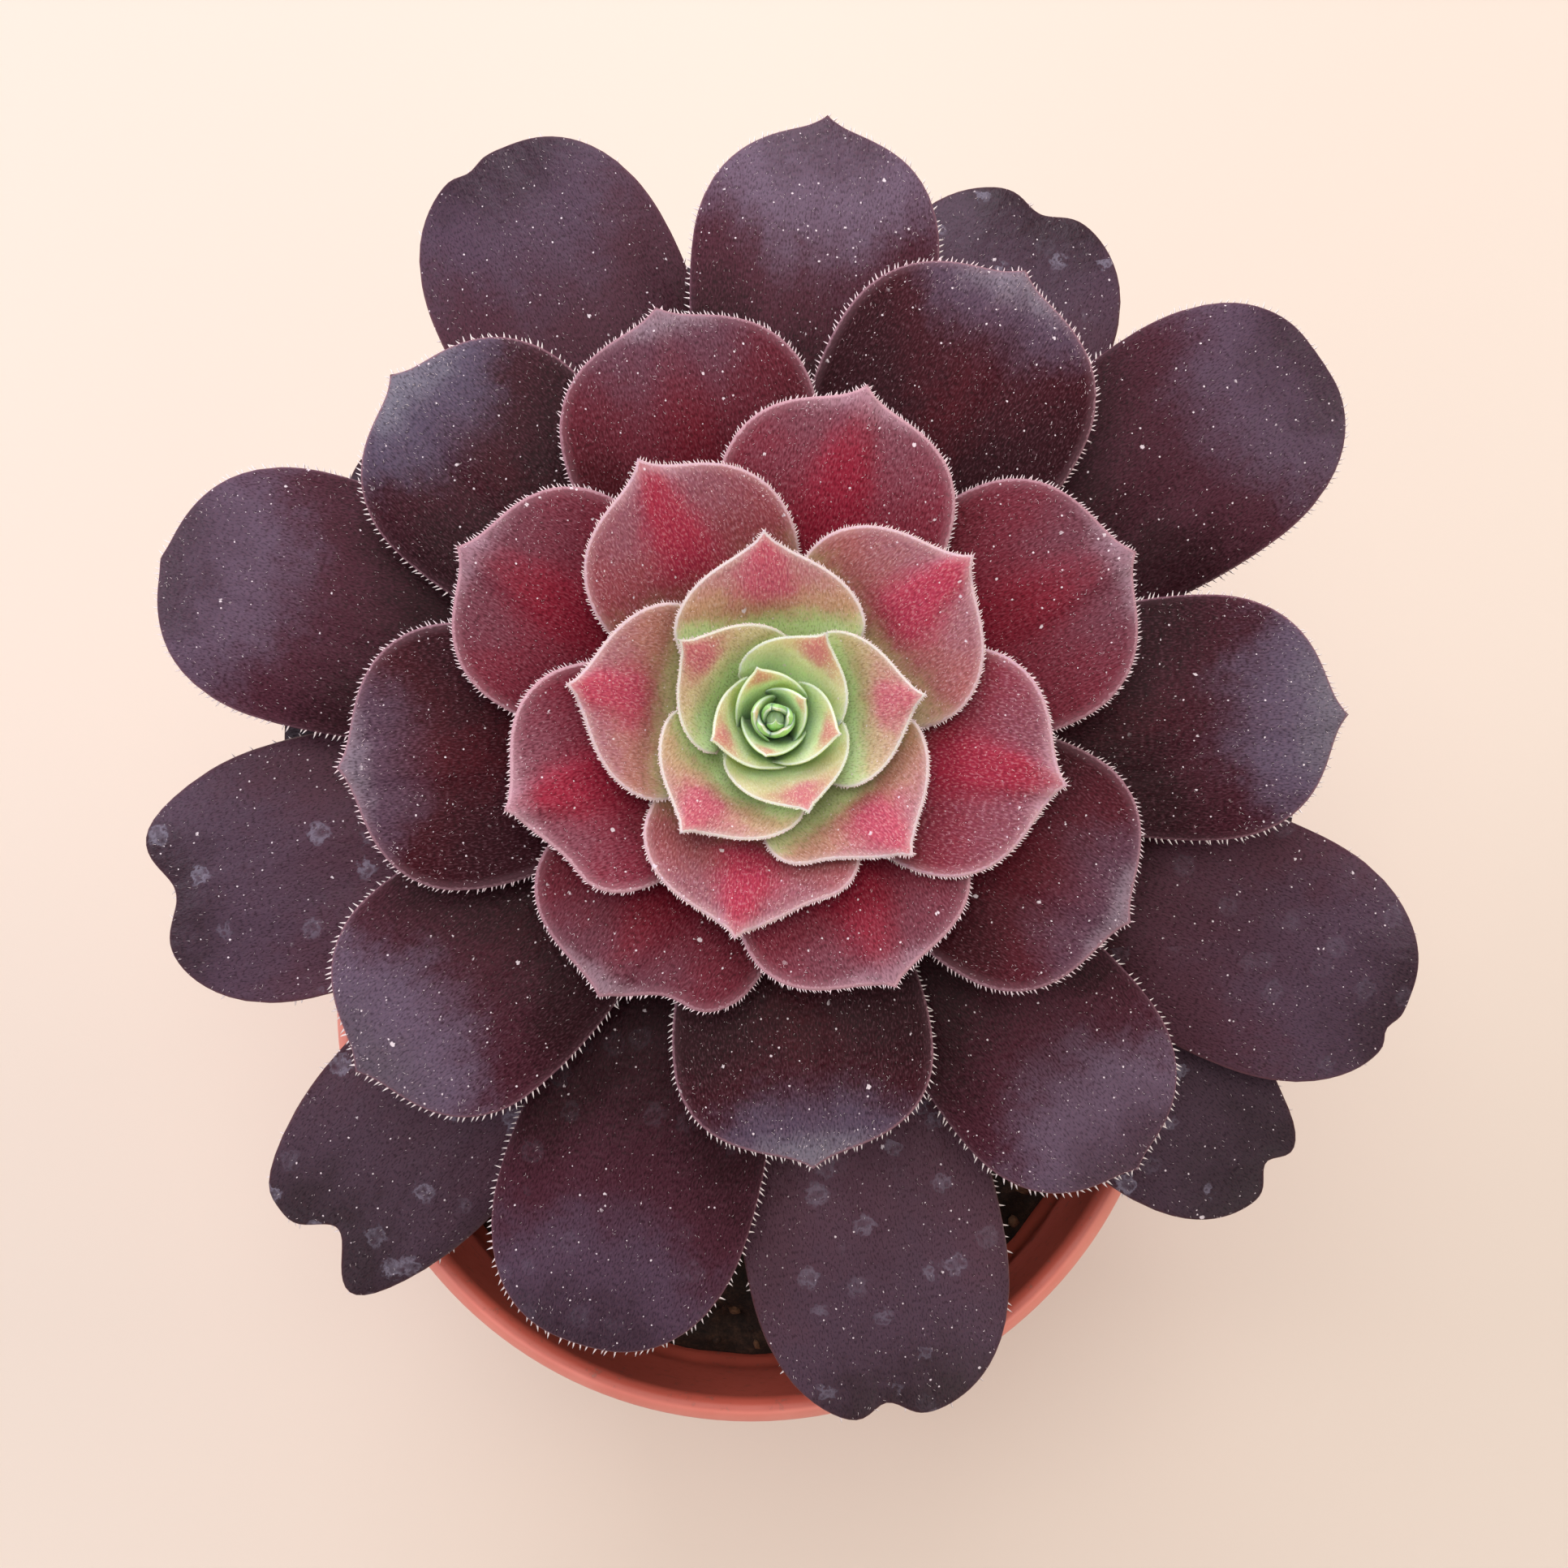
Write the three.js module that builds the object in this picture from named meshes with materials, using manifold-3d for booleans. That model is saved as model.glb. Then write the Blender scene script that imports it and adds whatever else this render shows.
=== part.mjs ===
// A potted aeonium: one rosette of fleshy leaves on a short woody stem, in a round
// plastic nursery pot filled with potting soil. Millimetres, +Z up. The origin is the
// middle of the pot's flat base, and -Y is the side that the plant is looked at from.
//
// The rosette grows as a real one does: each leaf stands a golden angle from the one
// before it, a little higher up the stem, and leans out less the younger it is.

import * as THREE from "three";
import { mergeVertices } from "three/addons/utils/BufferGeometryUtils.js";
import Module from "manifold-3d";

// ---- Driving sizes ---------------------------------------------------------------

const GAP = 0.3; // clear space between a piece and what carries it
const ROUND = 48; // sides of the pot and the soil

const POT = {
  height: 92,
  rimRadius: 52.5, // outside of the rolled rim
  rimRoll: 3.2, // width of the rim seen from above
  rimDepth: 4,
  collarRadius: 50.2, // outside of the collar under the rim
  collarDepth: 17,
  stepRadius: 48.4, // outside of the body just under the collar
  stepInside: 3, // the step in the inside wall lies this much lower than the one outside
  lip: 0.6, // rounding of the small edges
  baseRadius: 36.5,
  baseRound: 2.5,
  wall: 1.3,
  floor: 1.8,
  drainCount: 8,
  drainRadius: 4.5,
  drainDepth: 4.5, // the holes cut this far up the corner between floor and wall
  drainCircle: 33,
};

const SOIL = {
  top: 77.5, // mean height of the soil's surface
  relief: 2.2, // height of its clods
  edgeSink: 1.4, // how much lower it lies along the wall
  rings: 7,
  innermost: 0.5, // radius of the smallest ring
};

const STEM = {
  foot: new THREE.Vector3(0.4, 11, 50), // its lower end, in the soil
  collar: new THREE.Vector3(0.9, 14, 78), // where it comes out of the soil
  knee: new THREE.Vector3(2.0, 23, 99),
  radius: 5.8, // under the leaves
  footRadius: 4.4,
  crownRadius: 3.0, // at the top, under the heart
  sides: 14,
  rings: 26,
  scarDepth: 0.35, // how far old leaf scars stand out
  scarTurns: 9, // rows of scars, counted over its whole length
};

const ROSETTE = {
  origin: new THREE.Vector3(2.7, 28.5, 114.1), // where the oldest leaf joins the stem
  leanForward: 5, // degrees that its axis tips towards -Y
  leanRight: 1,
  crown: 18.4, // height of the stem's top above that origin
  goldenAngle: 137.5077,
  startAngle: 84, // degrees, of the leaf with step 0
  baseHeight: 7.1, // where the leaf with step 0 joins the stem
  internode: 0.455, // each younger leaf joins the stem this much higher
};

// How the leaves change with age. A step counts leaves along the growth spiral, from -19
// for the oldest to 34 for the youngest. Each pair is a step and what is true there, and
// what lies between two pairs is read off the straight line.
const BY_STEP = {
  // Height of the tip, over the origin of the rosette.
  tipHeight: [
    [-20, -2],
    [-15, -0.5],
    [-9, 3],
    [-5, 8],
    [0, 16],
    [4, 22],
    [8, 26.5],
    [12, 29],
    [18, 31.2],
    [24, 32],
    [36, 31],
  ],
  // How far the blade bulges up over the straight line from base to tip, by its length.
  arch: [[-20, 0.03], [-9, 0.06], [0, 0.1], [8, 0.12], [18, 0.13], [24, 0.12], [36, 0.05]],
  // Where along the blade its rounded end begins.
  shoulder: [[-20, 0.72], [0, 0.74], [8, 0.68], [14, 0.62], [20, 0.56], [24, 0.52], [36, 0.48]],
  // How slowly the blade widens from its narrow base: a higher number is slower.
  swell: [[-20, 1.5], [14, 1.5], [20, 1.35], [24, 1.25], [36, 1]],
  // Length of the little point that ends the blade, by the blade's length.
  tipPoint: [
    [-20, 0],
    [-3, 0],
    [0, 0.035],
    [8, 0.045],
    [14, 0.07],
    [20, 0.11],
    [24, 0.14],
    [36, 0.18],
  ],
  // How full the rounded end is: 2 is an ellipse, and less comes nearer to a triangle.
  roundness: [[-20, 2.3], [14, 2.4], [16, 2.2], [18, 1.95], [20, 1.7], [24, 1.6], [36, 1.6]],
  baseWidth: [[-20, 7.6], [0, 7], [12, 5.4], [24, 3.6], [36, 2.4]],
  // Thickness along the middle, at the base.
  thickness: [[-20, 2.1], [0, 1.9], [12, 1.4], [24, 1], [36, 0.8]],
  // How far the margins of old, limp leaves wave up and down.
  wave: [[-20, 0.8], [-9, 0.6], [0, 0.35], [8, 0.12], [36, 0]],
  // How far old leaves are rolled to one side, in degrees.
  roll: [[-20, 5], [-9, 4], [0, 2.5], [8, 1], [36, 0]],
};

const LEAF = {
  edge: 0.6, // thickness of the margin
  thin: 0.75, // thickness at the tip, by that at the base
  pointWidth: 0.16, // half width of the point, by the blade's half width
  tightest: 0.42, // smallest radius that a blade is bent to, by its width
  steeper: 0.3, // radians that a blade leaves the stem steeper than its tip lies
};

// The leaves that stand as pieces of their own, oldest first: the step of the growth
// spiral, the turn off the golden angle in degrees, the reach of the tip from the
// rosette's axis, and the greatest width. Lobes are where a leaf's end is notched or falls
// back, or, with a depth below 0, swells out: the place across the leaf from -1 to 1, the
// depth as a share of the length, the width.
const LEAVES = [
  { step: -19, turn: 1, reach: 62, width: 25 },
  { step: -15, turn: -2, reach: 57, width: 25 },
  { step: -14, turn: -0.7, reach: 78, width: 25.5, lobes: [[0.12, 0.035, 0.16], [0.8, 0.05, 0.2]] },
  { step: -13, turn: 0, reach: 57, width: 25 },
  {
    step: -12,
    turn: -5.8,
    reach: 79,
    width: 25.5,
    lobes: [[0.04, 0.055, 0.24], [-0.7, -0.02, 0.2], [0.62, -0.045, 0.3]],
  },
  { step: -10, turn: -5, reach: 58, width: 25 },
  { step: -9, turn: -5.1, reach: 79.3, width: 29.6, lobes: [[-0.14, 0.032, 0.17]] },
  { step: -8, turn: -1.2, reach: 70.8, width: 29, lobes: [[0.02, 0.028, 0.2]] },
  { step: -7, turn: -5.6, reach: 73, width: 29, lobes: [[-0.08, 0.045, 0.26], [-0.65, -0.02, 0.25]] },
  { step: -6, turn: -2.4, reach: 78.6, width: 28.4, lobes: [[-0.2, 0.014, 0.1]] },
  { step: -5, turn: -0.5, reach: 74.6, width: 28.8, lobes: [[0.22, 0.014, 0.12]] },
  { step: -4, turn: -1.5, reach: 71.2, width: 28.2 },
  { step: -3, turn: 3, reach: 75.5, width: 28.2 },
  { step: -2, turn: -4.7, reach: 70.8, width: 28.2 },
  { step: -1, turn: 3.2, reach: 62.5, width: 25.6 },
  { step: 0, turn: 1, reach: 68.9, width: 27.3 },
  { step: 1, turn: -2, reach: 58.2, width: 27.5 },
  { step: 2, turn: 2.3, reach: 62.3, width: 26.6 },
  { step: 3, turn: 1, reach: 56, width: 27.2 },
  { step: 4, turn: 1, reach: 46.7, width: 27.5 },
  { step: 5, turn: 9.6, reach: 55.6, width: 29.4 },
  { step: 6, turn: -3, reach: 45.7, width: 28.2 },
  { step: 7, turn: 4, reach: 42.2, width: 27 },
  { step: 8, turn: 2, reach: 44.9, width: 27.4 },
  { step: 9, turn: -4, reach: 33.2, width: 26, lobes: [[0.45, 0.05, 0.25]] },
  { step: 10, turn: 6, reach: 41, width: 26.8 },
  { step: 11, turn: -5, reach: 36.8, width: 24.7 },
  { step: 12, turn: 0, reach: 29.5, width: 25 },
  { step: 13, turn: 3, reach: 35.3, width: 25 },
  { step: 14, turn: -10, reach: 28.7, width: 24.5, lobes: [[0.55, 0.05, 0.3]] },
  { step: 15, turn: 0, reach: 30, width: 24.3, lift: 0.8 },
  { step: 16, turn: -6, reach: 29.5, width: 22.8 },
  { step: 17, turn: -2, reach: 22.5, width: 23.2, lobes: [[0.6, 0.06, 0.3]] },
  { step: 18, turn: 0, reach: 25.6, width: 23.2 },
  { step: 19, turn: -5, reach: 21, width: 21.3 },
  { step: 20, turn: 0, reach: 19.5, width: 21.1, lobes: [[-0.6, 0.08, 0.3]] },
  { step: 21, turn: 2, reach: 18.5, width: 21 },
  { step: 22, turn: 2, reach: 15, width: 19 },
  { step: 23, turn: 1, reach: 15, width: 17.8 },
  { step: 24, turn: -2, reach: 12, width: 17.3 },
];

// The youngest leaves, which are still folded round each other in one tight heart.
const HEART = [
  { step: 25, turn: 7, reach: 10.2, width: 16 },
  { step: 26, turn: -1, reach: 9.5, width: 14.5 },
  { step: 27, turn: 5, reach: 6.8, width: 12.8 },
  { step: 28, turn: 9, reach: 6.6, width: 11.2 },
  { step: 29, turn: 0, reach: 4.9, width: 10 },
  { step: 30, turn: 7, reach: 4.1, width: 8.6 },
  { step: 31, turn: 2, reach: 3.2, width: 7.6 },
  { step: 32, turn: 8, reach: 2.1, width: 6 },
  { step: 33, turn: -5, reach: 1.6, width: 5 },
  { step: 34, turn: 0, reach: 0.6, width: 4.2 },
];

// The growing tip that the leaves of the heart stand round.
const BUD = {
  height: 10,
  tipRadius: 0.8,
  sides: 12,
  lowSeat: 0.8, // height on it of the oldest leaf's base, and below of the youngest's
  highSeat: 4,
  wideSeat: 2.2, // distance of the oldest leaf's base from the axis, and of the youngest's
  narrowSeat: 0.4,
};

// How finely a leaf is divided: along it, and across it.
const ALONG = [0, 0.18, 0.38, 0.58, 0.76, 0.9, 1];
const ACROSS = [-1, -0.88, -0.63, -0.3, 0, 0.3, 0.63, 0.88, 1];
const ACROSS_LOBED = [-1, -0.9, -0.72, -0.5, -0.25, 0, 0.25, 0.5, 0.72, 0.9, 1];
const ALONG_HEART = [0, 0.3, 0.6, 0.85, 1];
const ACROSS_HEART = [-1, -0.5, 0, 0.5, 1];

// ---- Materials -------------------------------------------------------------------

const finish = (color, roughness) => new THREE.MeshStandardMaterial({ color, roughness, metalness: 0 });
const PLASTIC = finish(0xc4594a, 0.45);
const PEAT = finish(0x33261f, 0.95);
const BARK = finish(0x6b5648, 0.85);
const AUBERGINE_LEAF = finish(0x3b2a33, 0.6);
const WINE_LEAF = finish(0x5e1d2c, 0.62);
const ROSE_LEAF = finish(0x9a5558, 0.65);
const GREEN_LEAF = finish(0x93b96a, 0.65);

// ---- Solids ----------------------------------------------------------------------

const wasm = await Module();
wasm.setup();

/** A closed three.js geometry as a manifold-3d solid. */
function solidOf(geometry) {
  const bare = geometry.index ? geometry.toNonIndexed() : geometry.clone();
  bare.deleteAttribute("normal");
  bare.deleteAttribute("uv");
  const merged = mergeVertices(bare, 1e-4);
  return new wasm.Manifold(
    new wasm.Mesh({
      numProp: 3,
      vertProperties: merged.attributes.position.array,
      triVerts: new Uint32Array(merged.index.array),
    }),
  );
}

/** A manifold-3d solid as a three.js geometry. */
function geometryOf(solid) {
  const { numVert, numProp, vertProperties, triVerts } = solid.getMesh();
  const position = new Float32Array(numVert * 3);
  for (let i = 0; i < numVert; i++) {
    position.set(vertProperties.subarray(i * numProp, i * numProp + 3), i * 3);
  }
  const geometry = new THREE.BufferGeometry();
  geometry.setAttribute("position", new THREE.BufferAttribute(position, 3));
  geometry.setIndex(new THREE.BufferAttribute(triVerts, 1));
  geometry.computeVertexNormals();
  return geometry;
}

/** A closed skin over rings of equally many points, with a flat fan over each end. */
function loft(rings) {
  const sides = rings[0].length;
  const position = rings.flat().flatMap((p) => [p.x, p.y, p.z]);
  const index = [];
  for (let r = 0; r + 1 < rings.length; r++) {
    for (let s = 0; s < sides; s++) {
      const a = r * sides + s;
      const b = r * sides + ((s + 1) % sides);
      index.push(a, b, b + sides, a, b + sides, a + sides);
    }
  }
  const last = (rings.length - 1) * sides;
  for (let s = 1; s + 1 < sides; s++) {
    index.push(0, s + 1, s, last, last + s, last + s + 1);
  }
  const geometry = new THREE.BufferGeometry();
  geometry.setAttribute("position", new THREE.Float32BufferAttribute(position, 3));
  geometry.setIndex(index);
  geometry.computeVertexNormals();
  return geometry;
}

const degrees = THREE.MathUtils.degToRad;
const lerp = THREE.MathUtils.lerp;

/** What a table of [step, value] rows gives at a step, on the straight line between rows. */
function readAt(rows, step) {
  for (let i = 1; i < rows.length; i++) {
    const [x0, y0] = rows[i - 1];
    const [x1, y1] = rows[i];
    if (step <= x1) return lerp(y0, y1, Math.max(0, (step - x0) / (x1 - x0)));
  }
  return rows[rows.length - 1][1];
}

// ---- Pot and soil ----------------------------------------------------------------

/** The outside radius of the pot's body under its collar, at a height. */
const bodyRadius = (z) => lerp(POT.baseRadius, POT.stepRadius, z / (POT.height - POT.collarDepth));

/** The pot: a thin tapered shell with a collar, a rolled rim and drainage holes. */
function makePot() {
  const { height, rimRadius, rimRoll, rimDepth, collarRadius, wall, floor, lip } = POT;
  const step = height - POT.collarDepth;
  const insideStep = step - POT.stepInside;
  const profile = [
    [0, 0],
    [POT.baseRadius - POT.baseRound, 0],
    [POT.baseRadius, POT.baseRound],
    [POT.stepRadius, step - 2 * lip],
    [collarRadius - lip, step],
    [collarRadius, height - rimDepth],
    [rimRadius - lip, height - rimDepth + lip],
    [rimRadius, height - rimDepth / 2],
    [rimRadius - 1.5 * lip, height - lip],
    [rimRadius - rimRoll / 2, height],
    [rimRadius - rimRoll, height - lip],
    [collarRadius - wall - lip, insideStep + 2 * lip],
    [bodyRadius(insideStep) - wall, insideStep],
    [bodyRadius(floor) - wall, floor],
    [0, floor],
  ].map(([r, z]) => new THREE.Vector2(r, z));
  // A lathe turns about +Y, so it is stood up, which also makes its faces point out.
  const shell = new THREE.LatheGeometry(profile, ROUND).rotateX(Math.PI / 2);
  let pot = solidOf(shell);
  for (let i = 0; i < POT.drainCount; i++) {
    const angle = (i * 2 * Math.PI) / POT.drainCount;
    const hole = new THREE.CylinderGeometry(POT.drainRadius, POT.drainRadius, POT.drainDepth * 2, 16)
      .rotateX(Math.PI / 2)
      .translate(POT.drainCircle * Math.cos(angle), POT.drainCircle * Math.sin(angle), 0);
    pot = pot.subtract(solidOf(hole));
  }
  return geometryOf(pot);
}

/** How far the soil's clods rise above or sink below its mean surface: broad and fine waves. */
function clods(x, y) {
  const broad = Math.sin(x * 0.21 + 1.3) * Math.cos(y * 0.17 - 0.4);
  const fine = Math.sin(x * 0.55 + y * 0.31) * Math.sin(y * 0.63 - x * 0.22 + 2);
  return SOIL.relief * (0.5 * broad + 0.5 * fine);
}

/** The soil: what fills the pot, with a lumpy top and a plain hole for the stem. */
function makeSoil(stemHole) {
  const inner = (z) => bodyRadius(z) - POT.wall - GAP / Math.cos(Math.PI / ROUND);
  const bottom = POT.floor + GAP;
  const ring = (radius, height) =>
    Array.from({ length: ROUND }, (_, i) => {
      const angle = (i * 2 * Math.PI) / ROUND;
      const x = radius * Math.sin(angle);
      const y = radius * Math.cos(angle);
      return new THREE.Vector3(x, y, height(x, y));
    }).reverse();
  const insideStep = POT.height - POT.collarDepth - POT.stepInside;
  const edge = inner(insideStep);
  const rings = [
    ring(SOIL.innermost, () => bottom),
    ring(inner(bottom), () => bottom),
    ring(edge, () => insideStep),
  ];
  for (let i = SOIL.rings; i >= 1; i--) {
    const sunk = i === SOIL.rings ? SOIL.edgeSink : 0;
    rings.push(ring((edge * i) / SOIL.rings, (x, y) => SOIL.top - sunk + clods(x, y)));
  }
  rings.push(ring(SOIL.innermost, () => SOIL.top));
  return geometryOf(solidOf(loft(rings)).subtract(stemHole));
}

// ---- Stem ------------------------------------------------------------------------

/** The frame of the rosette: its own Z is the axis that the leaves stand round. */
function rosetteFrame() {
  const frame = new THREE.Group();
  const axis = new THREE.Vector3(
    Math.sin(degrees(ROSETTE.leanRight)),
    -Math.sin(degrees(ROSETTE.leanForward)),
    0,
  );
  axis.z = Math.sqrt(1 - axis.lengthSq());
  const right = new THREE.Vector3(1, 0, 0).addScaledVector(axis, -axis.x).normalize();
  const back = new THREE.Vector3().crossVectors(axis, right);
  frame.applyMatrix4(new THREE.Matrix4().makeBasis(right, back, axis));
  frame.position.copy(ROSETTE.origin);
  frame.updateMatrix();
  return frame;
}

/** The stem's radius among the leaves, at a height in the rosette's own frame. */
function crownTaper(z) {
  const share = THREE.MathUtils.clamp(z / ROSETTE.crown, 0, 1);
  return lerp(STEM.radius, STEM.crownRadius, share);
}

/** The line that the stem follows: up out of the soil, back, and upright into the rosette. */
function stemLine(frame, lowered) {
  const foot = STEM.foot.clone().setZ(STEM.foot.z - lowered);
  const inRosette = [-3.5, 0, ROSETTE.crown / 2, ROSETTE.crown];
  const upper = inRosette.map((z) => new THREE.Vector3(0, 0, z).applyMatrix4(frame.matrix));
  return new THREE.CatmullRomCurve3([foot, STEM.collar, STEM.knee, ...upper], false, "centripetal");
}

/** Rings round a line, each with its own radius, as far as the line is followed. */
function ringsAlong(line, count, sides, radiusAt) {
  const frames = line.computeFrenetFrames(count);
  return Array.from({ length: count + 1 }, (_, i) => {
    const share = i / count;
    const centre = line.getPointAt(share);
    return Array.from({ length: sides }, (_, s) => {
      const angle = (s * 2 * Math.PI) / sides;
      const out = radiusAt(share, angle, centre);
      return centre
        .clone()
        .addScaledVector(frames.normals[i], out * Math.cos(angle))
        .addScaledVector(frames.binormals[i], out * Math.sin(angle));
    });
  });
}

/** The stem, or, grown by a clearance, the hole that it stands in. */
function makeStem(frame, grown) {
  const line = stemLine(frame, grown);
  const unturn = frame.matrix.clone().invert();
  const radiusAt = (share, angle, centre) => {
    const inRosette = centre.clone().applyMatrix4(unturn);
    if (inRosette.z > -1) return crownTaper(inRosette.z) + grown;
    const rise = THREE.MathUtils.clamp((centre.z - STEM.foot.z) / (STEM.knee.z - STEM.foot.z), 0, 1);
    const scars = Math.max(0, Math.sin(share * STEM.scarTurns * 2 * Math.PI + 2 * angle));
    const bare = lerp(STEM.footRadius, STEM.radius - STEM.scarDepth, rise);
    return bare + (grown ? grown + STEM.scarDepth : STEM.scarDepth * scars);
  };
  return solidOf(loft(ringsAlong(line, STEM.rings, STEM.sides, radiusAt)));
}

// ---- Leaves ----------------------------------------------------------------------

/** Everything that a leaf's shape follows from, worked out from its row and its step. */
function leafShape(row) {
  const { step } = row;
  const base = new THREE.Vector2(0, ROSETTE.baseHeight + ROSETTE.internode * step);
  const tip = new THREE.Vector2(row.reach, readAt(BY_STEP.tipHeight, step) + (row.lift ?? 0));
  const thickness = readAt(BY_STEP.thickness, step);
  const pitch = Math.atan2(tip.y - base.y, tip.x);
  base.x = crownTaper(base.y) + GAP + (thickness / 2) * Math.sin(Math.min(pitch + LEAF.steeper, Math.PI / 2));
  const chord = tip.clone().sub(base);
  const bulge = new THREE.Vector2(-chord.y, chord.x).multiplyScalar(readAt(BY_STEP.arch, step));
  const middle = base.clone().add(tip).multiplyScalar(0.5).add(bulge);
  return {
    base,
    middle,
    tip,
    thickness,
    width: row.width,
    lobes: row.lobes ?? [],
    shoulder: readAt(BY_STEP.shoulder, step),
    swell: readAt(BY_STEP.swell, step),
    tipPoint: readAt(BY_STEP.tipPoint, step),
    roundness: readAt(BY_STEP.roundness, step),
    baseShare: readAt(BY_STEP.baseWidth, step) / row.width,
    wave: readAt(BY_STEP.wave, step),
    wavePhase: 2.1 * step,
    roll: Math.tan(degrees(readAt(BY_STEP.roll, step))) * Math.sin(1.7 * step),
  };
}

/** How far along its length a leaf's end reaches, at a place v across it, as a share. */
function endOf(shape, v) {
  const arc = (1 - Math.abs(v) ** shape.roundness) ** (1 / shape.roundness);
  const round = shape.shoulder + (1 - shape.shoulder - shape.tipPoint) * arc;
  const point = shape.tipPoint * Math.exp(-Math.abs(v) / LEAF.pointWidth);
  const notch = ([at, depth, wide]) => depth * Math.exp(-(((v - at) / wide) ** 2));
  return shape.lobes.reduce((end, lobe) => end - notch(lobe), round + point);
}

/** The point of a leaf's middle surface at u along and v across it, and its upward normal. */
function leafPoint(shape, u, v) {
  const { base, middle, tip } = shape;
  const t = u * endOf(shape, v);
  const onLine = new THREE.Vector2()
    .addScaledVector(base, (1 - t) * (1 - t))
    .addScaledVector(middle, 2 * t * (1 - t))
    .addScaledVector(tip, t * t);
  const along = new THREE.Vector2()
    .addScaledVector(base, t - 1)
    .addScaledVector(middle, 1 - 2 * t)
    .addScaledVector(tip, t)
    .normalize();
  const swell = Math.sin((Math.PI / 2) * u) ** shape.swell;
  const y = v * (shape.width / 2) * lerp(shape.baseShare, 1, swell);
  // Across, a leaf bends round the rosette's axis, as a cone of its own pitch would.
  const tightest = 1 / (LEAF.tightest * shape.width);
  const bend = THREE.MathUtils.clamp(along.y / Math.max(onLine.x, 1), -tightest, tightest);
  const turn = bend * y;
  const flat = Math.abs(turn) < 1e-6;
  const side = flat ? y : Math.sin(turn) / bend;
  const ripple = shape.wave * v * v * u * Math.sin(8 * u + 2 * v + shape.wavePhase);
  const raise = (flat ? 0 : (1 - Math.cos(turn)) / bend) + shape.roll * y * u * u + ripple;
  const place = new THREE.Vector3(onLine.x - along.y * raise, side, onLine.y + along.x * raise);
  const normal = new THREE.Vector3(-along.y * Math.cos(turn), -Math.sin(turn), along.x * Math.cos(turn));
  const body = shape.thickness * lerp(1, LEAF.thin, u);
  return { place, normal, half: lerp(body, LEAF.edge, v * v) / 2 };
}

/** A leaf as a closed blade: an upper and a lower face, split alike, joined at the margin. */
function leafGeometry(shape, alongAt, acrossAt) {
  const columns = acrossAt.length;
  const upper = [];
  const lower = [];
  for (const u of alongAt) {
    for (const v of acrossAt) {
      const { place, normal, half } = leafPoint(shape, u, v);
      upper.push(place.clone().addScaledVector(normal, half));
      lower.push(place.clone().addScaledVector(normal, -half));
    }
  }
  const under = upper.length;
  const index = [];
  const face = (a, b, c, d) => {
    index.push(a, b, c, a, c, d);
    index.push(under + a, under + c, under + b, under + a, under + d, under + c);
  };
  for (let r = 0; r + 1 < alongAt.length; r++) {
    for (let c = 0; c + 1 < columns; c++) {
      const a = r * columns + c;
      face(a, a + columns, a + columns + 1, a + 1);
    }
  }
  const last = (alongAt.length - 1) * columns;
  const border = [];
  for (let c = 0; c < columns; c++) border.push(c);
  for (let r = 1; r < alongAt.length; r++) border.push(r * columns + columns - 1);
  for (let c = columns - 2; c >= 0; c--) border.push(last + c);
  for (let r = alongAt.length - 2; r >= 1; r--) border.push(r * columns);
  border.forEach((a, i) => {
    const b = border[(i + 1) % border.length];
    index.push(a, b, under + b, a, under + b, under + a);
  });
  const geometry = new THREE.BufferGeometry().setFromPoints([...upper, ...lower]);
  geometry.setIndex(index);
  geometry.computeVertexNormals();
  return geometry;
}

/** The angle round the rosette's axis at which a leaf stands, in radians. */
const leafAngle = (row) => degrees(ROSETTE.startAngle + ROSETTE.goldenAngle * row.step + row.turn);

/** The heart: the youngest leaves, grown together round the stem's growing tip. */
function makeHeart() {
  const foot = ROSETTE.crown + GAP;
  const bud = new THREE.CylinderGeometry(BUD.tipRadius, STEM.crownRadius, BUD.height, BUD.sides)
    .rotateX(Math.PI / 2)
    .translate(0, 0, foot + BUD.height / 2);
  return HEART.reduce((heart, row, i) => {
    const shape = leafShape(row);
    const inward = i / HEART.length;
    shape.base.x = lerp(BUD.wideSeat, BUD.narrowSeat, inward);
    shape.base.y = foot + lerp(BUD.lowSeat, BUD.highSeat, inward);
    const leaf = leafGeometry(shape, ALONG_HEART, ACROSS_HEART).rotateZ(leafAngle(row));
    return heart.add(solidOf(leaf));
  }, solidOf(bud));
}

// ---- The whole plant -------------------------------------------------------------

/** A named mesh. */
function piece(name, geometry, material) {
  const mesh = new THREE.Mesh(geometry, material);
  mesh.name = name;
  return mesh;
}

/** The colour class of a leaf: old leaves are near black, young ones rose. */
function leafMaterial(step) {
  if (step < 5) return AUBERGINE_LEAF;
  return step < 15 ? WINE_LEAF : ROSE_LEAF;
}

const plant = new THREE.Group();
const frame = rosetteFrame();
plant.add(piece("pot", makePot(), PLASTIC));
plant.add(piece("soil", makeSoil(makeStem(frame, GAP)), PEAT));
plant.add(piece("stem", geometryOf(makeStem(frame, 0)), BARK));
plant.add(frame);
LEAVES.forEach((row, i) => {
  const across = row.lobes ? ACROSS_LOBED : ACROSS;
  const name = `leaf_${String(i + 1).padStart(2, "0")}`;
  const leaf = piece(name, leafGeometry(leafShape(row), ALONG, across), leafMaterial(row.step));
  leaf.rotation.z = leafAngle(row);
  frame.add(leaf);
});
frame.add(piece("heart", geometryOf(makeHeart()), GREEN_LEAF));

export default plant;
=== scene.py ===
"""A potted aeonium, dressed: a dark rosette on a short stem in a plastic nursery pot.

Sizes are in millimetres until a mesh is made, which is in metres, in the frame of the
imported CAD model: +Z up, the origin in the middle of the pot's base, and -Y the side that
the plant is looked at from. Each leaf follows the same growth rule as its CAD solid.
"""

import logging
import math
from collections.abc import Sequence
from dataclasses import dataclass, field
from enum import Enum

import bmesh
import bpy
import numpy as np
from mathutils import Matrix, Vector, noise

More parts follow.
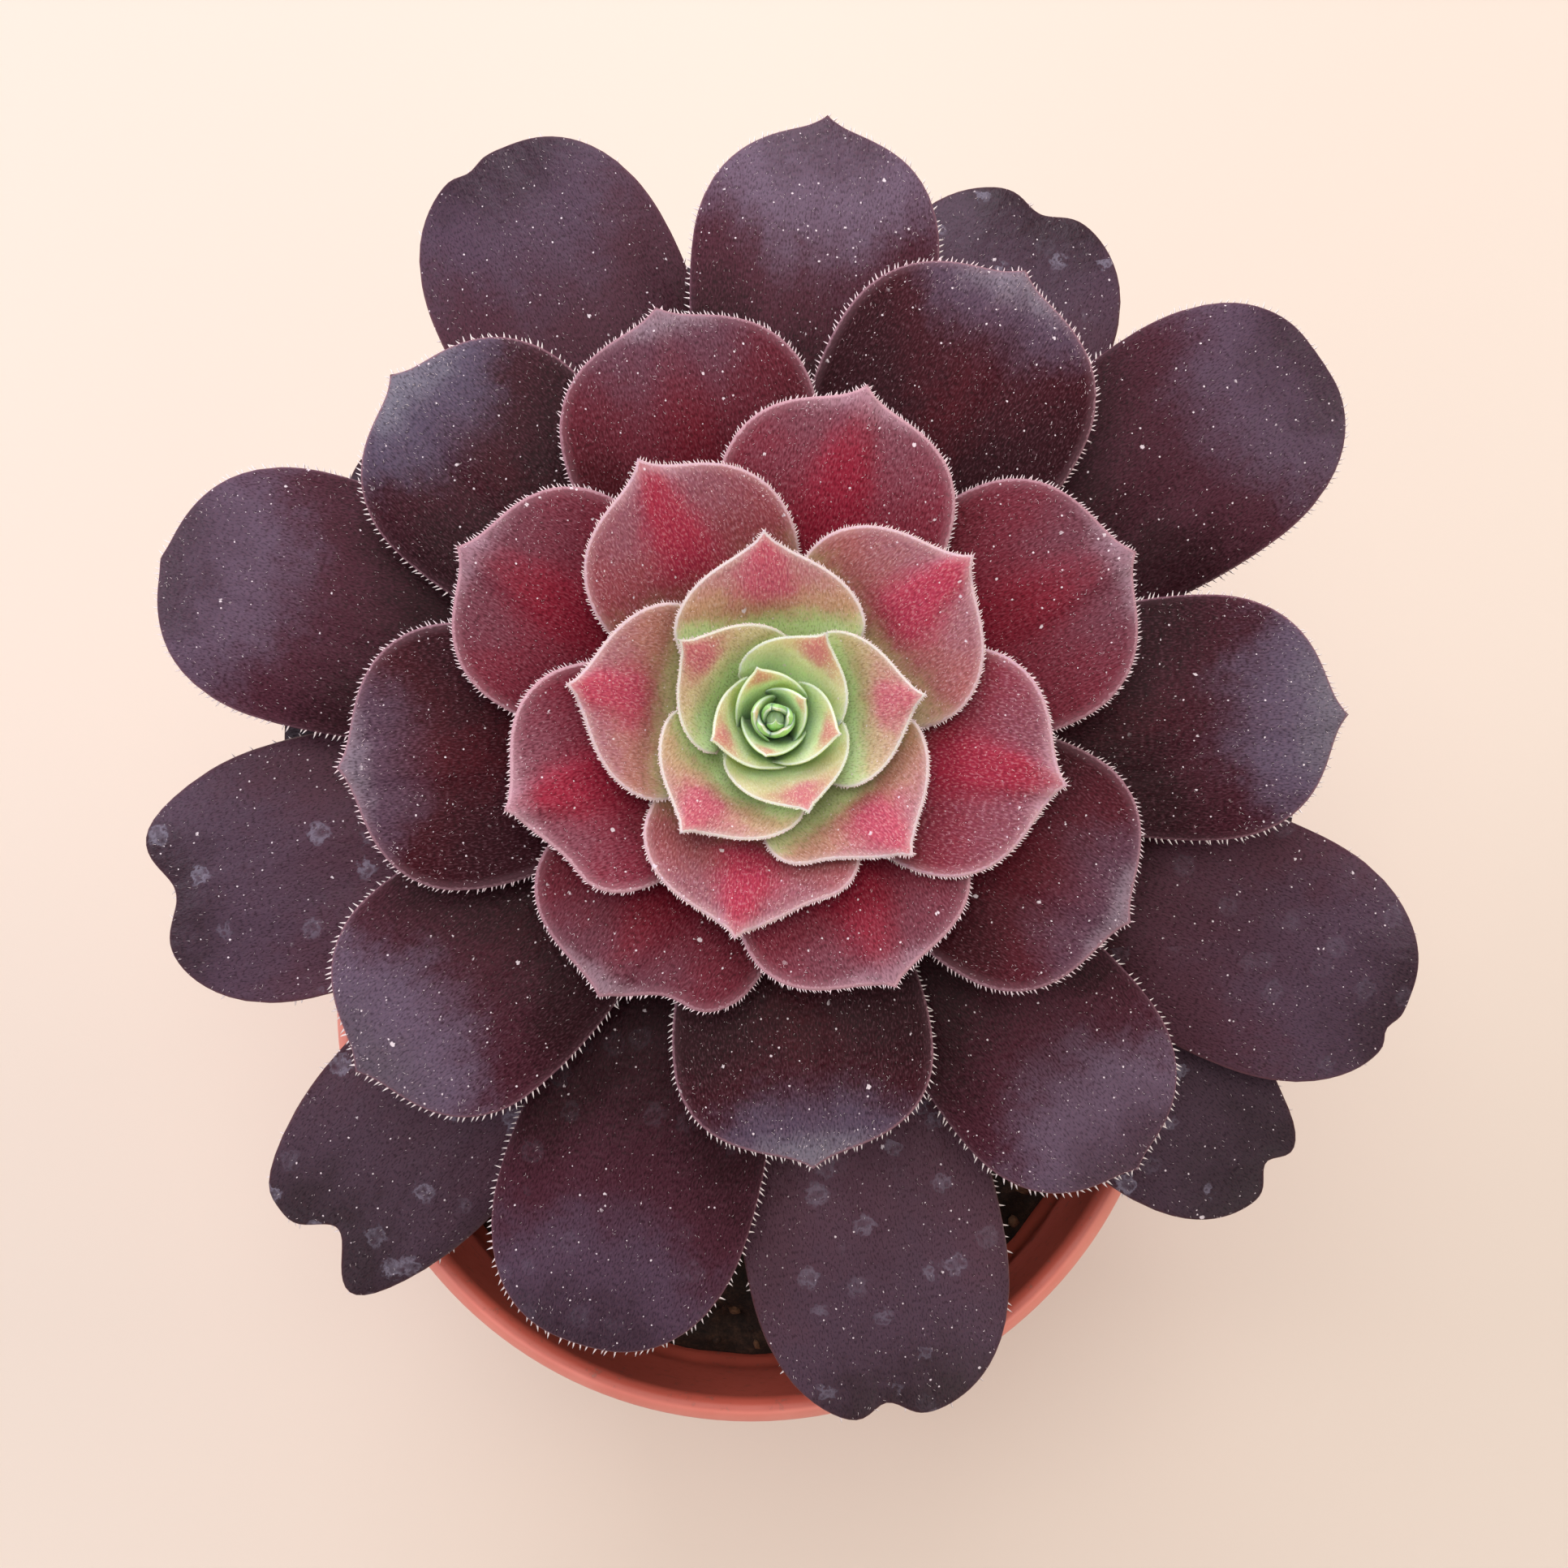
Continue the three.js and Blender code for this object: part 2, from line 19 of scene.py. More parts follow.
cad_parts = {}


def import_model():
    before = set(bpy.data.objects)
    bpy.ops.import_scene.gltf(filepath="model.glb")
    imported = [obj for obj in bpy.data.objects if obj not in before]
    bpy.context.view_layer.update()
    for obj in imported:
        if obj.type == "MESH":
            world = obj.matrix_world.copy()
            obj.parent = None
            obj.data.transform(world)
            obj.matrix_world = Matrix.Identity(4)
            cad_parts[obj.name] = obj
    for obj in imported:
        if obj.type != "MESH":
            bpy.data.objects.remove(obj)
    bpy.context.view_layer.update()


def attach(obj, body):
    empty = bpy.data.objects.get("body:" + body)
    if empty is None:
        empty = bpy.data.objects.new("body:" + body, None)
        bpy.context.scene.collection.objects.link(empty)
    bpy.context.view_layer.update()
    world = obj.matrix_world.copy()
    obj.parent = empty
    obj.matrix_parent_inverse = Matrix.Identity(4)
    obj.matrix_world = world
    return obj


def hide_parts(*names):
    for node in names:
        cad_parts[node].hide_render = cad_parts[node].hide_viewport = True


LOG = logging.getLogger("aeonium")
MM = 0.001
BODY = "root"
HAIR_SIDES = 3

Colour = tuple[float, float, float, float]
Table = tuple[tuple[float, float], ...]
Face = tuple[int, ...]


# ---- Small tools -----------------------------------------------------------------


def linear(code: str) -> Colour:
    """Turns an sRGB colour to linear light.

    Args:
        code: the colour as hex, such as "#c8604f".

    Returns:
        Its linear red, green, blue and alpha.
    """

    def channel(value: float) -> float:
        """One channel, from 0 to 1, as linear light."""
        return value / 12.92 if value <= 0.04045 else ((value + 0.055) / 1.055) ** 2.4

    parts = [channel(int(code[i : i + 2], 16) / 255) for i in (1, 3, 5)]
    return (parts[0], parts[1], parts[2], 1.0)


def per_metre(size: float) -> float:
    """The scale of a texture whose features are `size` millimetres across."""
    return 1 / (size * MM)


def at_step(rows: Table, step: float) -> float:
    """What a table of (step, value) rows gives at a step, on the straight line between rows."""
    return float(np.interp(step, [row[0] for row in rows], [row[1] for row in rows]))


def smooth(low: float, high: float, value: np.ndarray) -> np.ndarray:
    """0 below `low`, 1 above `high`, and a smooth rise between them."""
    share = np.clip((value - low) / (high - low), 0, 1)
    return share * share * (3 - 2 * share)


def add_node(
    tree: bpy.types.NodeTree,
    kind: str,
    inputs: dict[int | str, object] | None = None,
    stops: Sequence[tuple[float, Colour]] = (),
    **settings: object,
) -> bpy.types.Node:
    """Adds a node to a material.

    Args:
        tree: the material's nodes.
        kind: the node's type, without its "ShaderNode".
        inputs: for an input's name or number, the socket that feeds it or its value.
        stops: the places and colours of a colour ramp.
        settings: the node's own properties.

    Returns:
        The new node.
    """
    node = tree.nodes.new("ShaderNode" + kind)
    for name, value in settings.items():
        setattr(node, name, value)
    for key, value in (inputs or {}).items():
        if isinstance(value, bpy.types.NodeSocket):
            tree.links.new(value, node.inputs[key])
        else:
            node.inputs[key].default_value = value
    for i, (place, colour) in enumerate(stops):
        ramp = node.color_ramp.elements
        stop = ramp[i] if i < len(ramp) else ramp.new(place)
        stop.position, stop.color = place, colour
    return node


def new_material(name: str) -> tuple[bpy.types.Material, bpy.types.NodeTree]:
    """Makes a node material without nodes.

    Args:
        name: its name, after the real finish.

    Returns:
        The material, and its nodes.
    """
    material = bpy.data.materials.new(name)
    material.use_nodes = True
    material.node_tree.nodes.clear()
    return material, material.node_tree


def uneven(
    tree: bpy.types.NodeTree,
    value: bpy.types.NodeSocket,
    *noises: tuple[bpy.types.NodeSocket, float],
) -> bpy.types.NodeSocket:
    """Adds the nodes that make a value uneven, about its own mean.

    Args:
        tree: the material's nodes.
        value: the socket of the value.
        noises: each noise, which runs from 0 to 1, and how much of it is added.

    Returns:
        The socket of the uneven value.
    """
    centre = -0.5 * sum(weight for _, weight in noises)
    total = add_node(tree, "Math", {0: value, 1: centre}).outputs[0]
    for pattern, weight in noises:
        added = add_node(tree, "Math", {0: pattern, 1: weight, 2: total}, operation="MULTIPLY_ADD")
        total = added.outputs[0]
    return total


@dataclass
class Body:
    """A mesh in the making, in millimetres: its points, its faces and what its points carry."""

    points: np.ndarray
    faces: list[Face]
    marks: dict[str, np.ndarray] = field(default_factory=dict)

    @staticmethod
    def joined(bodies: Sequence["Body"]) -> "Body":
        """Joins bodies.

        Args:
            bodies: the bodies, which have the same marks.

        Returns:
            All of them as one.
        """
        start = np.cumsum([0] + [len(body.points) for body in bodies])
        faces = [tuple(int(i + s) for i in face) for body, s in zip(bodies, start) for face in body.faces]
        marks = {name: np.concatenate([body.marks[name] for body in bodies]) for name in bodies[0].marks}
        return Body(np.concatenate([body.points for body in bodies]), faces, marks)

    def piece(self, name: str, material: bpy.types.Material, sharp: float | None = None) -> bpy.types.Object:
        """Makes the mesh object, which rides on the plant's one body.

        Args:
            name: the name of the piece.
            material: its finish.
            sharp: the angle, in degrees, from which an edge shows as a crease.

        Returns:
            The object, linked into the scene.
        """
        mesh = bpy.data.meshes.new(name)
        mesh.from_pydata((self.points * MM).tolist(), [], self.faces)
        mesh.shade_smooth()
        if sharp is not None:
            mesh.set_sharp_from_angle(angle=math.radians(sharp))
        for mark, values in self.marks.items():
            kind, key = ("FLOAT_VECTOR", "vector") if values.ndim == 2 else ("FLOAT", "value")
            layer = mesh.attributes.new(mark, kind, "POINT")
            layer.data.foreach_set(key, values.astype(np.float32).ravel())
        mesh.materials.append(material)
        piece = bpy.data.objects.new(name, mesh)
        bpy.context.scene.collection.objects.link(piece)
        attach(piece, BODY)
        LOG.info("%s: %d points, %d faces", name, len(mesh.vertices), len(mesh.polygons))
        return piece


def rough_ground(points: np.ndarray, size: float, seed: float = 0.0) -> np.ndarray:
    """Smooth noise from -1 to 1 at points in millimetres, with swells `size` across."""
    return np.array([noise.noise(Vector((x / size + seed, y / size, z / size))) for x, y, z in points])


def tube_faces(rings: int, sides: int) -> list[Face]:
    """The faces of a closed tube.

    Args:
        rings: how many rings of points it has, numbered one after another.
        sides: how many points each ring has.

    Returns:
        The quads between its rings, and a cap at each end.
    """
    faces: list[Face] = [
        (i * sides + k, i * sides + (k + 1) % sides, (i + 1) * sides + (k + 1) % sides, (i + 1) * sides + k)
        for i in range(rings - 1)
        for k in range(sides)
    ]
    faces.append(tuple(range(sides - 1, -1, -1)))
    faces.append(tuple((rings - 1) * sides + k for k in range(sides)))
    return faces


# ---- Finishes --------------------------------------------------------------------


@dataclass(frozen=True)
class Shade:
    """The colours of a leaf at one age, as the eye sees them in daylight.

    Attributes:
        step: the leaf's place on the growth spiral.
        base: the colour at its base; from step 18 on it is painted lighter, as painted light where the young
            leaves shade each other.
        middle: the colour of its middle; in the heart it is painted lighter in the same way.
        outer: the colour of its outer part; on the dark leaves it is partly a painted sheen over a pale
            bloom.
        end: the colour along its end; on the dark leaves it is partly a painted sheen over a pale bloom.
        patch: the colour of the patch in the middle of the blade.
        margin: the colour of its pale margin and of the tips of its down.
        under: the colour of its lower face.
    """

    step: int
    base: str
    middle: str
    outer: str
    end: str
    patch: str
    margin: str
    under: str


# From the oldest leaf to the youngest. Old skin is near black, and the heart is green. On the dark leaves
# the colours of the outer part and the end are partly a painted sheen over a pale bloom.
SHADES = (
    Shade(-20, "#281117", "#35232d", "#3a2b33", "#332930", "#35151d", "#4a2a2c", "#4a3c37"),
    Shade(-9, "#3a1820", "#553a46", "#4c3946", "#37292f", "#45212b", "#5a3438", "#4e3a38"),
    Shade(-4, "#2c0c15", "#421d29", "#4c3848", "#3a2934", "#3a1620", "#6d4852", "#503437"),
    Shade(0, "#2a0a12", "#441c28", "#645162", "#4c3844", "#42121d", "#7a5560", "#503437"),
    Shade(3, "#280810", "#340d18", "#4f4355", "#6d6975", "#420c17", "#8a626c", "#5a3438"),
    Shade(6, "#2e0a13", "#3a0e17", "#4f3847", "#776a75", "#4e0c18", "#96707a", "#5a3438"),
    Shade(9, "#4c0e18", "#641e2c", "#5f323e", "#87707a", "#681222", "#a87c86", "#6c393e"),
    Shade(12, "#641b27", "#702533", "#6a3541", "#94707d", "#801b2e", "#bd9099", "#783f42"),
    Shade(15, "#7c3e3a", "#802c3c", "#7f4653", "#a87c87", "#922339", "#cca3ab", "#865450"),
    # From here on the base colours, and the middle colours of the heart, are painted lighter than the skin
    # is: painted light where the young leaves shade each other.
    Shade(18, "#b8a078", "#a05c5c", "#98626c", "#b88a94", "#aa3850", "#d8b8b8", "#8d6654"),
    Shade(21, "#c4e49a", "#bd9274", "#ae747a", "#bd8a93", "#b95568", "#dccfc6", "#8b7856"),
    Shade(25, "#cef0aa", "#cac496", "#ba937c", "#bd8c90", "#ba6c75", "#dce2ca", "#869260"),
    Shade(29, "#d4f6b6", "#d0eeac", "#c8b892", "#c09482", "#be8278", "#def0cc", "#8fb46a"),
    Shade(34, "#dcf9c6", "#dcf9c6", "#d6f2c0", "#d4e0b2", "#cfa490", "#e6fad8", "#90c878"),
)
OLDEST, YOUNGEST = SHADES[0].step, SHADES[-1].step


def age_of(step: float) -> float:
    """A step of the growth spiral as an age mark, from 0 for the oldest leaf to 1."""
    return (step - OLDEST) / (YOUNGEST - OLDEST)


@dataclass(frozen=True)
class Layer:
    """A colour laid over a leaf's skin where a guide is strong enough.

    Attributes:
        guide: the mark or noise that it follows.
        start: the guide's value where it begins to show.
        full: the guide's value from which it shows in full.
        colour: its colour.
        most: how much of it shows there.
        way: how it is mixed with what lies under it.
    """

    guide: bpy.types.NodeSocket
    start: float
    full: float
    colour: bpy.types.NodeSocket | Colour
    most: bpy.types.NodeSocket | float = 1.0
    way: str = "MIX"

    def over(self, tree: bpy.types.NodeTree, skin: bpy.types.NodeSocket) -> bpy.types.NodeSocket:
        """Adds the nodes that lay it over a skin.

        Args:
            tree: the material's nodes.
            skin: the socket of the skin's colour so far.

        Returns:
            The socket of the new colour.
        """
        share = add_node(
            tree,
            "MapRange",
            {"Value": self.guide, "From Min": self.start, "From Max": self.full, "To Max": self.most},
            interpolation_type="SMOOTHSTEP",
        )
        laid = add_node(
            tree,
            "Mix",
            {0: share.outputs[0], 6: skin, 7: self.colour},
            data_type="RGBA",
            blend_type=self.way,
        )
        return laid.outputs[2]


@dataclass(frozen=True)
class SkinPatterns:
    """The sockets that the colour and the relief of a leaf's skin follow.

    Attributes:
        ramps: each colour of a Shade at the leaf's age, by its name there.
        along: where a point stands between the blade's four colours, from 0 to 3.
        patch: how much of the patch it has.
        edge: its distance from the edge, by the width of the pale rim.
        spotted: how strongly dried water drops show.
        under: 1 on the lower face.
        puckered: how deep the puckers are.
        blade: its place across and along the blade, in millimetres.
        place: its place in the frame of the plant, in metres.
        cloud: a broad noise.
        mottle: a finer noise.
        grain: the finest noise, combed along the blade as the down is.
    """

    ramps: dict[str, bpy.types.NodeSocket]
    along: bpy.types.NodeSocket
    patch: bpy.types.NodeSocket
    edge: bpy.types.NodeSocket
    spotted: bpy.types.NodeSocket
    under: bpy.types.NodeSocket
    puckered: bpy.types.NodeSocket
    blade: bpy.types.NodeSocket
    place: bpy.types.NodeSocket
    cloud: bpy.types.NodeSocket
    mottle: bpy.types.NodeSocket
    grain: bpy.types.NodeSocket


@dataclass(frozen=True)
class LeafSkin:
    """Living leaf skin: a waxy cuticle over fleshy tissue, under a fine down.

    It is satin rather than shiny, and the down gives it the soft pale edge of velvet.
    """

    name: str
    roughness: float
    refraction: float
    sheen: float
    sheen_colour: str
    flesh: float  # how much light passes through the flesh under the skin
    frost: float  # how much the tips of the down pale the skin
    depth: float  # how much deeper the colour is between them
    band: float  # how pale the soft band inside the margin is
    leather: float  # how strong the relief between down and puckers is
    polish: float = 0.05  # how much smoother each of the blade's four colours is than the last
    specular: float = 0.22  # low, because the down breaks up what the cuticle would mirror
    between: str = "#5a3a3e"  # what deepens the colour between the hairs
    rim: float = 0.8  # how pale the narrow rim is
    dust: str = "#e6d8dc"
    lime: str = "#a39db0"  # what a dried water drop leaves
    down: float = 0.19  # millimetres between the finest hairs, coarser than real so that they show
    down_slim: float = 0.4  # how drawn out they are along the blade: their width by their length
    mottle: float = 0.9  # millimetres across a small unevenness of colour and relief
    speck: float = 1.0  # millimetres between small specks of dust
    big_speck: float = 2.2  # millimetres between larger ones
    pucker: float = 2.2  # millimetres across a pucker of an old leaf, which runs along it
    pucker_slim: float = 0.35  # its width by its length
    cloud: float = 3.5  # millimetres across a cloud of colour
    streak: float = 0.9  # millimetres across a streak of colour
    streak_slim: float = 0.15  # its width by its length
    drop: float = 4.4  # millimetres between dried water drops

    def material(self) -> bpy.types.Material:
        """Builds the material. Its pieces carry the marks age, zone, where and old.

        Returns:
            The material.
        """
        material, tree = new_material(self.name)
        at = self._patterns(tree)
        skin = self._painted(tree, at)
        skin = self._dusted(tree, at, skin)
        skin = self._stained(tree, at, skin)
        both_sides = add_node(
            tree, "Mix", {0: at.under, 6: skin, 7: at.ramps["under"]}, data_type="RGBA"
        )
        smoother = add_node(
            tree, "Math", {0: at.along, 1: -self.polish, 2: self.roughness}, operation="MULTIPLY_ADD"
        )
        shader = add_node(
            tree,
            "BsdfPrincipled",
            {
                "Base Color": both_sides.outputs[2],
                "Roughness": uneven(tree, smoother.outputs[0], (at.grain, 0.2)),
                "IOR": self.refraction,
                "Specular IOR Level": self.specular,
                "Subsurface Weight": self.flesh,
                "Subsurface Radius": (4 * MM, 3.6 * MM, 1.4 * MM),
                "Subsurface Scale": 1.0,
                "Sheen Weight": self.sheen,
                "Sheen Roughness": 0.4,
                "Sheen Tint": linear(self.sheen_colour),
                "Normal": self._relief(tree, at),
            },
        )
        add_node(tree, "OutputMaterial", {"Surface": shader.outputs[0]})
        return material

    def _patterns(self, tree: bpy.types.NodeTree) -> SkinPatterns:
        """Adds the leaf's marks, its colours at its age, and the noises in millimetres.

        Args:
            tree: the material's nodes.

        Returns:
            Their sockets.
        """
        age, zone, old, where = (
            add_node(tree, "Attribute", attribute_name=mark) for mark in ("age", "zone", "old", "where")
        )
        ramps = {
            part: add_node(
                tree,
                "ValToRGB",
                {0: age.outputs["Fac"]},
                stops=[(age_of(shade.step), linear(getattr(shade, part))) for shade in SHADES],
            ).outputs[0]
            for part in ("base", "middle", "outer", "end", "patch", "margin", "under")
        }
        along, patch, edge = add_node(tree, "SeparateXYZ", {0: zone.outputs["Vector"]}).outputs
        spotted, under, puckered = add_node(tree, "SeparateXYZ", {0: old.outputs["Vector"]}).outputs
        blade = where.outputs["Vector"]
        place = add_node(tree, "TexCoord").outputs["Object"]
        combed = add_node(
            tree, "Mapping", {"Vector": blade, "Scale": (1 / self.down, self.down_slim / self.down, 1.0)}
        )
        cloud = add_node(tree, "TexNoise", {"Vector": place, "Scale": per_metre(self.cloud), "Detail": 3})
        mottle = add_node(tree, "TexNoise", {"Vector": place, "Scale": per_metre(self.mottle), "Detail": 3})
        grain = add_node(tree, "TexNoise", {"Vector": combed.outputs[0], "Scale": 1.0, "Detail": 1})
        return SkinPatterns(
            ramps=ramps,
            along=along,
            patch=patch,
            edge=edge,
            spotted=spotted,
            under=under,
            puckered=puckered,
            blade=blade,
            place=place,
            cloud=cloud.outputs[0],
            mottle=mottle.outputs[0],
            grain=grain.outputs[0],
        )

    def _painted(self, tree: bpy.types.NodeTree, at: SkinPatterns) -> bpy.types.NodeSocket:
        """Adds the colour of the clean skin.

        Args:
            tree: the material's nodes.
            at: the sockets that it follows.

        Returns:
            The socket of the colour.
        """
        drawn = add_node(
            tree,
            "Mapping",
            {"Vector": at.blade, "Scale": (1 / self.streak, self.streak_slim / self.streak, 1.0)},
        )
        streak = add_node(tree, "TexNoise", {"Vector": drawn.outputs[0], "Scale": 1.0, "Detail": 3})
        reach = uneven(
            tree, at.along, (at.grain, 0.5), (at.mottle, 0.5), (streak.outputs[0], 0.25), (at.cloud, 0.9)
        )
        blotch = uneven(tree, at.patch, (at.cloud, 0.5), (at.mottle, 0.4))
        rough_edge = uneven(tree, at.edge, (at.grain, 1.6))
        skin = at.ramps["base"]
        for layer in (
            # Along the blade from its base to its end, and the patch in its middle. Towards the end of the
            # dark leaves this lays a painted sheen over their pale bloom, and on the base of the young
            # leaves painted light.
            Layer(reach, 0.0, 1.0, at.ramps["middle"]),
            Layer(reach, 0.9, 2.1, at.ramps["outer"]),
            Layer(reach, 2.0, 3.0, at.ramps["end"]),
            Layer(blotch, 0.1, 0.95, at.ramps["patch"]),
            # Down: a fine grain of pale hair tips with deeper colour between them.
            Layer(at.grain, 0.5, 0.72, at.ramps["margin"], self.frost),
            Layer(at.grain, 0.52, 0.3, linear(self.between), self.depth, way="MULTIPLY"),
            # The margin is paler, in a soft band and a narrow rim.
            Layer(rough_edge, 4.5, 0.8, at.ramps["margin"], self.band),
            Layer(rough_edge, 1.2, 0.4, at.ramps["margin"], self.rim),
        ):
            skin = layer.over(tree, skin)
        return skin

    def _dusted(
        self, tree: bpy.types.NodeTree, at: SkinPatterns, skin: bpy.types.NodeSocket
    ) -> bpy.types.NodeSocket:
        """Adds dust: single pale specks of two sizes, denser in some places than in others.

        Args:
            tree: the material's nodes.
            at: the sockets that it follows.
            skin: the socket of the colour under it.

        Returns:
            The socket of the dusty colour.
        """
        for spacing, rarity in ((self.speck, 0.4), (self.big_speck, 0.8)):
            speck = add_node(tree, "TexVoronoi", {"Vector": at.place, "Scale": per_metre(spacing)})
            chance, girth, _ = add_node(tree, "SeparateColor", {0: speck.outputs["Color"]}).outputs
            crowd = uneven(tree, chance, (at.cloud, 0.9))
            held = add_node(
                tree,
                "MapRange",
                {"Value": crowd, "From Min": rarity, "From Max": rarity + 0.1, "To Max": 0.8},
                interpolation_type="SMOOTHSTEP",
            )
            away = uneven(tree, speck.outputs["Distance"], (at.grain, -0.2), (girth, -0.07))
            skin = Layer(away, 0.105, 0.065, linear(self.dust), held.outputs[0]).over(tree, skin)
        return skin

    def _stained(
        self, tree: bpy.types.NodeTree, at: SkinPatterns, skin: bpy.types.NodeSocket
    ) -> bpy.types.NodeSocket:
        """Adds dried water drops: cloudy spots, clearer in their middle, on old leaves only.

        Args:
            tree: the material's nodes.
            at: the sockets that they follow.
            skin: the socket of the colour under them.

        Returns:
            The socket of the stained colour.
        """
        drop = add_node(tree, "TexVoronoi", {"Vector": at.place, "Scale": per_metre(self.drop)})
        spread = uneven(tree, drop.outputs["Distance"], (at.mottle, 0.55), (at.grain, 0.12))
        spot, clearing, kept, patchy = (
            add_node(
                tree,
                "MapRange",
                {"Value": guide, "From Min": start, "From Max": full, "To Max": most},
                interpolation_type="SMOOTHSTEP",
            ).outputs[0]
            for guide, start, full, most in (
                (spread, 0.325, 0.245, 0.5),
                (spread, 0.265, 0.125, 0.28),
                (drop.outputs["Color"], 0.38, 0.6, 1.0),
                (at.mottle, 0.2, 0.6, 1.0),
            )
        )
        stain = add_node(tree, "Math", {0: spot, 1: clearing}, operation="SUBTRACT").outputs[0]
        for share in (kept, patchy, at.spotted):
            stain = add_node(tree, "Math", {0: stain, 1: share}, operation="MULTIPLY").outputs[0]
        return add_node(tree, "Mix", {0: stain, 6: skin, 7: linear(self.lime)}, data_type="RGBA").outputs[2]

    def _relief(self, tree: bpy.types.NodeTree, at: SkinPatterns) -> bpy.types.NodeSocket:
        """Adds the relief: puckers along the blade, an uneven skin, and the down as the finest.

        Args:
            tree: the material's nodes.
            at: the sockets that it follows.

        Returns:
            The socket of the normal.
        """
        long_way = add_node(
            tree,
            "Mapping",
            {"Vector": at.blade, "Scale": (1 / self.pucker, self.pucker_slim / self.pucker, 1.0)},
        )
        fold = add_node(tree, "TexNoise", {"Vector": long_way.outputs[0], "Scale": 1.0, "Detail": 2})
        pucker = add_node(tree, "Math", {0: fold.outputs[0], 1: at.puckered}, operation="MULTIPLY")
        coarse = add_node(
            tree, "Bump", {"Strength": 0.55, "Distance": 0.6 * MM, "Height": pucker.outputs[0]}
        )
        middle = add_node(
            tree,
            "Bump",
            {
                "Strength": self.leather,
                "Distance": 0.3 * MM,
                "Height": at.mottle,
                "Normal": coarse.outputs[0],
            },
        )
        fine = add_node(
            tree,
            "Bump",
            {"Strength": 0.35, "Distance": 0.12 * MM, "Height": at.grain, "Normal": middle.outputs[0]},
        )
        return fine.outputs[0]


@dataclass(frozen=True)
class LeafHair:
    """Plant hairs: dry, thin-walled cells full of air, so they look white and dull."""

    name: str
    root: str
    tip: str
    roughness: float = 0.55
    tuft: float = 1.6  # millimetres over which their colour changes

    def material(self) -> bpy.types.Material:
        """Builds the material. Its pieces carry the mark `out`, 0 at a hair's root and 1 at its tip.

        Returns:
            The material.
        """
        material, tree = new_material(self.name)
        place = add_node(tree, "TexCoord").outputs["Object"]
        tuft = add_node(tree, "TexNoise", {"Vector": place, "Scale": per_metre(self.tuft), "Detail": 2})
        out = add_node(tree, "Attribute", attribute_name="out")
        colour = add_node(
            tree,
            "Mix",
            {0: out.outputs["Fac"], 6: linear(self.root), 7: linear(self.tip)},
            data_type="RGBA",
        )
        worn = add_node(
            tree,
            "Mix",
            {0: tuft.outputs[0], 6: colour.outputs[2], 7: linear(self.root)},
            data_type="RGBA",
        )
        shader = add_node(
            tree,
            "BsdfPrincipled",
            {"Base Color": worn.outputs[2], "Roughness": self.roughness, "IOR": 1.45},
        )
        add_node(tree, "OutputMaterial", {"Surface": shader.outputs[0]})
        return material


@dataclass(frozen=True)
class MouldedPolypropylene:
    """Injection-moulded polypropylene, coloured through: a dull satin with a faint skin."""

    name: str = "moulded_polypropylene"
    colour: str = "#e78c7c"
    deep: str = "#dd7c6c"
    # the inner wall's colour: the same plastic, painted darker as painted shade
    shaded: str = "#c25a4a"
    soiled: str = "#5a3328"  # where watering has washed soil up the inner wall
    dust: str = "#e3b3a4"
    roughness: float = 0.42
    flow: float = 9.0  # millimetres across a flow mark, and it is longer up the wall
    peel: float = 0.5  # millimetres across the moulded orange-peel, as coarse as it needs to show
    scuff: float = 1.4  # millimetres across a scuff

    def material(self) -> bpy.types.Material:
        """Builds the material. Its piece carries the mark `inside`, 1 on the inner wall, whose colour is
        painted darker as painted shade.

        Returns:
            The material.
        """
        material, tree = new_material(self.name)
        place = add_node(tree, "TexCoord").outputs["Object"]
        inside = add_node(tree, "Attribute", attribute_name="inside").outputs["Fac"]
        upright = add_node(tree, "Mapping", {"Vector": place, "Scale": (1.0, 1.0, 0.18)})
        flow = add_node(
            tree, "TexNoise", {"Vector": upright.outputs[0], "Scale": per_metre(self.flow), "Detail": 4}
        )
        peel = add_node(tree, "TexNoise", {"Vector": place, "Scale": per_metre(self.peel), "Detail": 2})
        scuff = add_node(
            tree,
            "TexNoise",
            {"Vector": place, "Scale": per_metre(self.scuff), "Detail": 6, "Roughness": 0.7},
        )
        tone = add_node(
            tree,
            "ValToRGB",
            {0: flow.outputs[0]},
            stops=[(0.3, linear(self.deep)), (0.68, linear(self.colour))],
        )
        # The inner wall is painted darker than the same plastic outside: painted shade.
        shade = add_node(
            tree, "Mix", {0: inside, 6: tone.outputs[0], 7: linear(self.shaded)}, data_type="RGBA"
        )
        # Soil that watering has washed up the inner wall, and dust in the scuffs outside.
        splash = add_node(
            tree,
            "MapRange",
            {"Value": scuff.outputs[0], "From Min": 0.56, "From Max": 0.7, "To Max": 0.6},
            interpolation_type="SMOOTHSTEP",
        )
        washed = add_node(tree, "Math", {0: splash.outputs[0], 1: inside}, operation="MULTIPLY")
        dirty = add_node(
            tree,
            "Mix",
            {0: washed.outputs[0], 6: shade.outputs[2], 7: linear(self.soiled)},
            data_type="RGBA",
        )
        dust = add_node(
            tree,
            "MapRange",
            {"Value": scuff.outputs[0], "From Min": 0.6, "From Max": 0.75, "To Max": 0.35},
            interpolation_type="SMOOTHSTEP",
        )
        dusted = add_node(
            tree, "Mix", {0: dust.outputs[0], 6: dirty.outputs[2], 7: linear(self.dust)}, data_type="RGBA"
        )
        gloss = add_node(
            tree, "Math", {0: scuff.outputs[0], 1: 0.25, 2: self.roughness - 0.1}, operation="MULTIPLY_ADD"
        )
        relief = add_node(tree, "Bump", {"Strength": 0.2, "Distance": 0.05 * MM, "Height": peel.outputs[0]})
        shader = add_node(
            tree,
            "BsdfPrincipled",
            {
                "Base Color": dusted.outputs[2],
                "Roughness": gloss.outputs[0],
                "IOR": 1.49,
                "Normal": relief.outputs[0],
            },
        )
        add_node(tree, "OutputMaterial", {"Surface": shader.outputs[0]})
        return material


